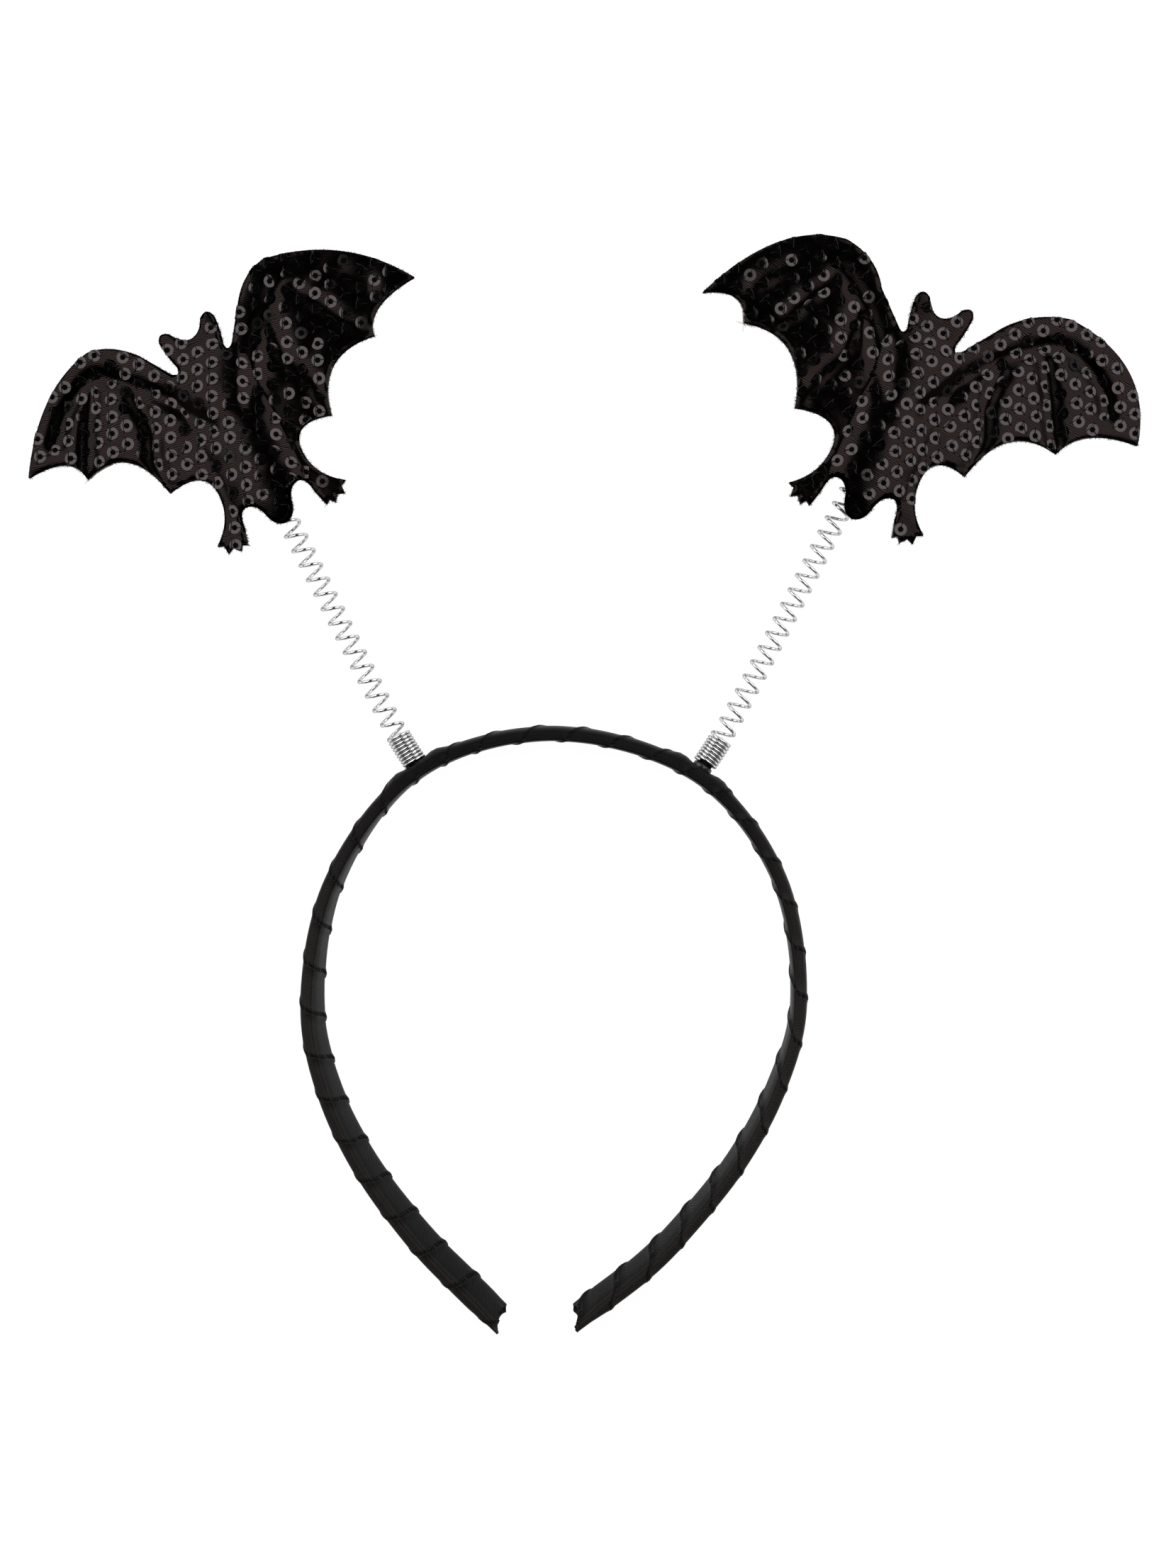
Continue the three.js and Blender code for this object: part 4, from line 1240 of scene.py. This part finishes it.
class Group(Nodes):
    """A node group that takes a vector and some numbers, and gives one number."""

    def __init__(self, name, numbers, output):
        super().__init__(bpy.data.node_groups.new(name, "ShaderNodeTree"))
        sockets = self.tree.interface
        sockets.new_socket("Vector", in_out="INPUT", socket_type="NodeSocketVector")
        for label in numbers:
            sockets.new_socket(label, in_out="INPUT", socket_type="NodeSocketFloat")
        sockets.new_socket(output, in_out="OUTPUT", socket_type="NodeSocketFloat")
        self.given = self.tree.nodes.new("NodeGroupInput").outputs
        self.result = self.tree.nodes.new("NodeGroupOutput").inputs[output]


class Finish(Nodes):
    """A material, with its surface set by name."""

    def __init__(self, name, **surface):
        self.material = bpy.data.materials.new(name)
        self.material.use_nodes = True
        super().__init__(self.material.node_tree)
        self.dress(**surface)

    def dress(self, **surface):
        self.feed_all(self.tree.nodes["Principled BSDF"], surface)

    def place(self, uv_map=None):
        """Places on a mesh's flat sheet, or in its own space."""
        return self.add("UVMap", {"uv_map": uv_map})["UV"] if uv_map else self.add("TexCoord")["Object"]

    def pattern(self, group, place, **inputs):
        return self.add("Group", {"node_tree": group}, Vector=place, **inputs)[0]

    def bumped(self, height, depth, strength=1.0):
        """Joins a height to the surface's normal, with the height's full range in metres."""
        self.dress(Normal=self.add("Bump", Height=height, Distance=depth, Strength=strength)["Normal"])


def fine_lines():
    """Group: even fine ribs across a surface, a little wavy, as a height from 0 to 1."""
    group = Group("fine_lines", ["Lines", "Turn", "Waver"], "Height")
    given = group.given
    settings = {"rotation_type": "Z_AXIS"}
    turned = group.add("VectorRotate", settings, Vector=given["Vector"], Angle=given["Turn"])["Vector"]
    wave = group.maths("MULTIPLY", group.noise(turned, 0.35, 2.0), given["Waver"])
    shifted = group.maths("ADD", group.add("SeparateXYZ", Vector=turned)["Y"], wave)
    saw = group.maths("PINGPONG", group.maths("MULTIPLY", shifted, given["Lines"]), 0.5)
    group.feed(group.result, group.ranged(saw, "SMOOTHSTEP", From_Max=0.5))
    return group.tree


def lint():
    """Group: sparse pale specks that cloth picks up, as a mask."""
    group = Group("lint", ["Scale", "Amount"], "Mask")
    specks = group.noise(group.given["Vector"], group.given["Scale"], 3.0, Roughness=0.7)
    level = group.maths("SUBTRACT", 0.82, group.given["Amount"])
    group.feed(group.result, group.ranged(specks, From_Min=level, From_Max=0.9))
    return group.tree


FINE_LINES = fine_lines()
LINT = lint()


def ribbon_satin():
    """Black satin with fine lines along the ribbon, ribbed where it folds over the upper edge, with painted
    sheen on the rib tops there.
    """
    finish = Finish("ribbon_satin", Roughness=0.42, IOR=1.15)
    place = finish.place("Ribbon")
    finish.bumped(finish.pattern(FINE_LINES, place, Lines=3.0, Turn=0.9, Waver=0.5), depth=0.00006)
    specks = finish.pattern(LINT, place, Scale=1.6, Amount=0.06)
    tone = finish.mixed(specks, (0.0014, 0.0014, 0.0015, 1), (0.03, 0.029, 0.03, 1))
    split = finish.add("SeparateXYZ", Vector=place)
    upward = finish.maths("COSINE", finish.maths("MULTIPLY", split["X"], FULL_TURN / WRAP_GIRTH))
    folded = finish.ranged(upward, From_Min=0.45, From_Max=0.75)
    ribs = finish.pattern(FINE_LINES, place, Lines=2.7, Turn=0.3, Waver=0.8)
    from_crown = finish.maths("ABSOLUTE", finish.maths("SUBTRACT", split["Y"], HOOP.length / 2))
    arms = finish.ranged(from_crown, From_Min=40.0, From_Max=100.0, To_Min=0.25)
    # Painted sheen: the ribs along the upper edge get a lighter brown base colour, a quarter as strong at the
    # crown as on the arms.
    rib_sheen = finish.maths("MULTIPLY", finish.maths("MULTIPLY", folded, ribs), arms)
    finish.dress(Base_Color=finish.mixed(rib_sheen, tone, (0.05, 0.042, 0.04, 1)))
    return finish.material


def sequin_knit():
    """Black knit ground with slanting ribs, whose tops have a dim brown gloss."""
    finish = Finish("sequin_knit", Metallic=1.0, Roughness=0.2, Specular_Tint=(0.03, 0.025, 0.025, 1))
    turn = math.radians(-RIB_TURN)
    ribs = finish.pattern(FINE_LINES, finish.place("Cloth"), Lines=1 / RIB_PITCH, Turn=turn, Waver=1.2)
    finish.bumped(ribs, depth=0.000012)
    tops = finish.ranged(ribs, From_Min=0.1, From_Max=0.9)
    finish.dress(Base_Color=finish.mixed(tops, (0.0022, 0.0015, 0.0014, 1), (0.0185, 0.0142, 0.0132, 1)))
    return finish.material


def craft_felt():
    """Black felt: matted fibres with a soft sheen."""
    finish = Finish("craft_felt", Roughness=0.95, Sheen_Weight=0.3, Sheen_Roughness=0.6)
    place = finish.place()
    matted = finish.noise(place, 1300.0, 4.0, Roughness=0.7, Distortion=1.2)
    finish.bumped(matted, depth=0.0004, strength=0.6)
    specks = finish.pattern(LINT, place, Scale=900.0, Amount=0.12)
    finish.dress(Base_Color=finish.mixed(specks, (0.013, 0.0115, 0.0115, 1), (0.05, 0.046, 0.046, 1)))
    return finish.material


def mottled(name, scale, detail, tones=None, gloss=None, **surface):
    """A finish in which noise runs between two tones, between two values of roughness, or both."""
    finish = Finish(name, **surface)
    mottle = finish.noise(finish.place(), scale, detail)
    if tones:
        finish.dress(Base_Color=finish.mixed(mottle, *tones))
    if gloss:
        low, high = gloss
        finish.dress(Roughness=finish.ranged(mottle, From_Min=0.3, From_Max=0.7, To_Min=low, To_Max=high))
    return finish.material


def sequin_film():
    """Black shiny film, a little uneven from ring to ring."""
    tones = ((0.0003, 0.0002, 0.0002, 1), (0.001, 0.0008, 0.0008, 1))
    shine = {"Specular_IOR_Level": 0.54, "Specular_Tint": (1.0, 0.84, 0.86, 1)}
    return mottled("sequin_film", 420.0, 1.0, tones, (0.07, 0.13), **shine)


def sewing_thread():
    """Black thread with a slight shine, lighter where it is rubbed."""
    tones = ((0.0006, 0.0005, 0.0005, 1), (0.002, 0.0017, 0.0018, 1))
    return mottled("sewing_thread", 900.0, 2.0, tones, Roughness=0.35, Specular_IOR_Level=0.22)


def knot_thread():
    """Dull black thread of the knots, kept near black and dull so that it also paints shade in the rings'
    holes.
    """
    tones = ((0.0005, 0.0004, 0.0004, 1), (0.0012, 0.001, 0.001, 1))
    return mottled("knot_thread", 1500.0, 2.0, tones, Roughness=0.7, Specular_IOR_Level=0.03)


def pale_wadding():
    """Pale polyester filling."""
    tones = ((0.30, 0.28, 0.26, 1), (0.66, 0.64, 0.61, 1))
    return mottled("pale_wadding", 600.0, 2.0, tones, Roughness=0.8)


def plated_wire():
    """Bright plated steel, with faint drawing marks, and a dark edge tint that paints shade along the wire's
    edges.
    """
    tones = ((0.66, 0.66, 0.67, 1), (0.74, 0.74, 0.74, 1))
    # Painted shade: this dark tint darkens the wire's reflection towards its edges.
    dark_edge_tint = (0.35, 0.35, 0.36, 1)
    return mottled("plated_wire", 1800.0, 2.0, tones, (0.12, 0.15), Metallic=1.0, Specular_Tint=dark_edge_tint)


def moulded_plastic():
    """Black moulded plastic with a faint mottle in its gloss."""
    return mottled("moulded_plastic", 500.0, 3.0, gloss=(0.2, 0.36), Base_Color=(0.011, 0.011, 0.012, 1))


def pale_plastic():
    """Undyed plastic of the posts inside the springs, a little cloudy."""
    tones = ((0.74, 0.66, 0.64, 1), (0.86, 0.80, 0.78, 1))
    return mottled("pale_plastic", 350.0, 2.0, tones, Roughness=0.45)


# Studio


def camera():
    data = bpy.data.cameras.new("camera")
    data.lens = CAMERA_LENS
    view = bpy.data.objects.new("camera", data)
    view.location = CAMERA_AT
    bpy.context.scene.collection.objects.link(view)
    bpy.context.scene.camera = view


def softbox(sign):
    """Large soft light beside the view, tilted towards the object."""
    inner = Vector((sign * SOFTBOX_INNER[0], 0, SOFTBOX_INNER[1]))
    outer = Vector((sign * SOFTBOX_OUTER[0], 0, SOFTBOX_OUTER[1]))
    data = bpy.data.lights.new("softbox", "AREA")
    data.shape = "RECTANGLE"
    data.size = (outer - inner).length
    data.size_y = SOFTBOX_FAR - SOFTBOX_NEAR
    data.energy = SOFTBOX_RADIANCE * math.pi * data.size * data.size_y
    box = bpy.data.objects.new("softbox", data)
    across = (outer - inner).normalized() * sign
    along = Vector((0, 1, 0))
    turn = Matrix((across, along, across.cross(along))).transposed()
    middle = (inner + outer) / 2 + along * (SOFTBOX_FAR + SOFTBOX_NEAR) / 2
    box.matrix_world = Matrix.Translation(middle) @ turn.to_4x4()
    box.visible_camera = False
    bpy.context.scene.collection.objects.link(box)


def surroundings():
    """Dim room that is pale towards the horizon."""
    world = bpy.data.worlds.new("room")
    world.use_nodes = True
    nodes = Nodes(world.node_tree)
    height = nodes.add("SeparateXYZ", Vector=nodes.add("TexCoord")["Generated"])["Z"]
    shade = nodes.ranged(height, "SMOOTHSTEP", **ROOM_SHADE)
    nodes.feed(nodes.tree.nodes["Background"].inputs["Color"], shade)
    bpy.context.scene.world = world


def floor():
    bm = bmesh.new()
    bmesh.ops.create_grid(bm, x_segments=1, y_segments=1, size=FLOOR_HALF)
    mesh = mesh_from(bm, "floor")
    tone = (FLOOR_TONE, FLOOR_TONE, FLOOR_TONE, 1)
    finish = Finish("studio_floor", Base_Color=tone, Roughness=0.9)
    finish.dress(Emission_Color=(1, 1, 1, 1), Emission_Strength=FLOOR_GLOW)
    mesh.materials.append(finish.material)
    plane = bpy.data.objects.new("floor", mesh)
    bpy.context.scene.collection.objects.link(plane)


# Assembly


def make_band():
    satin, thread, plastic, pale = ribbon_satin(), sewing_thread(), moulded_plastic(), pale_plastic()
    ribbon = finish_piece(wound_ribbon(), satin, "band")
    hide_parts("ribbon_wrap")
    finish_piece(ladder_stitches(), thread, "band")
    core = finish_piece(core_strip(), plastic, "band")
    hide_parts("hoop_core")
    for row in BATS:
        finish_piece(on_peg("collar", collar_profile(row), row), plastic, "band")
        finish_piece(on_peg("post", post_profile(row), row), pale, "band")


def make_bats():
    knit, film, thread, dull = sequin_knit(), sequin_film(), sewing_thread(), knot_thread()
    felt, filling, wire = craft_felt(), pale_wadding(), plated_wire()
    for row in BATS:
        bat = Bat(row)
        side, body = bat.side, row["body"]
        rng = np.random.default_rng(row["seed"])
        face = finish_piece(cloth(bat), knit, body)
        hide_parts(f"bat_{side}")
        rings = Rings(bat, rng)
        finish_piece(rings.sequins(rng), film, body)
        finish_piece(rings.stitches(rng), thread, body)
        finish_piece(rings.knots(rng), dull, body)
        finish_piece(edge_fibres(bat, rng), thread, body)
        finish_piece(wadding(bat, rng), filling, body)
        backing = finish_piece(felt_backing(bat), felt, body)
        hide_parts(f"backing_{side}")
        tab = finish_piece(felt_tab(bat), felt, body)
        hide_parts(f"tab_{side}")
        _, base_top, tail = spring_axis(bat)
        spring = finish_piece(spring_wire(bat), wire)
        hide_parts(f"spring_{side}")
        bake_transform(spring)


camera()
floor()
surroundings()
for beside in (-1, 1):
    softbox(beside)
bpy.context.scene.view_settings.view_transform = "Standard"
make_band()
make_bats()
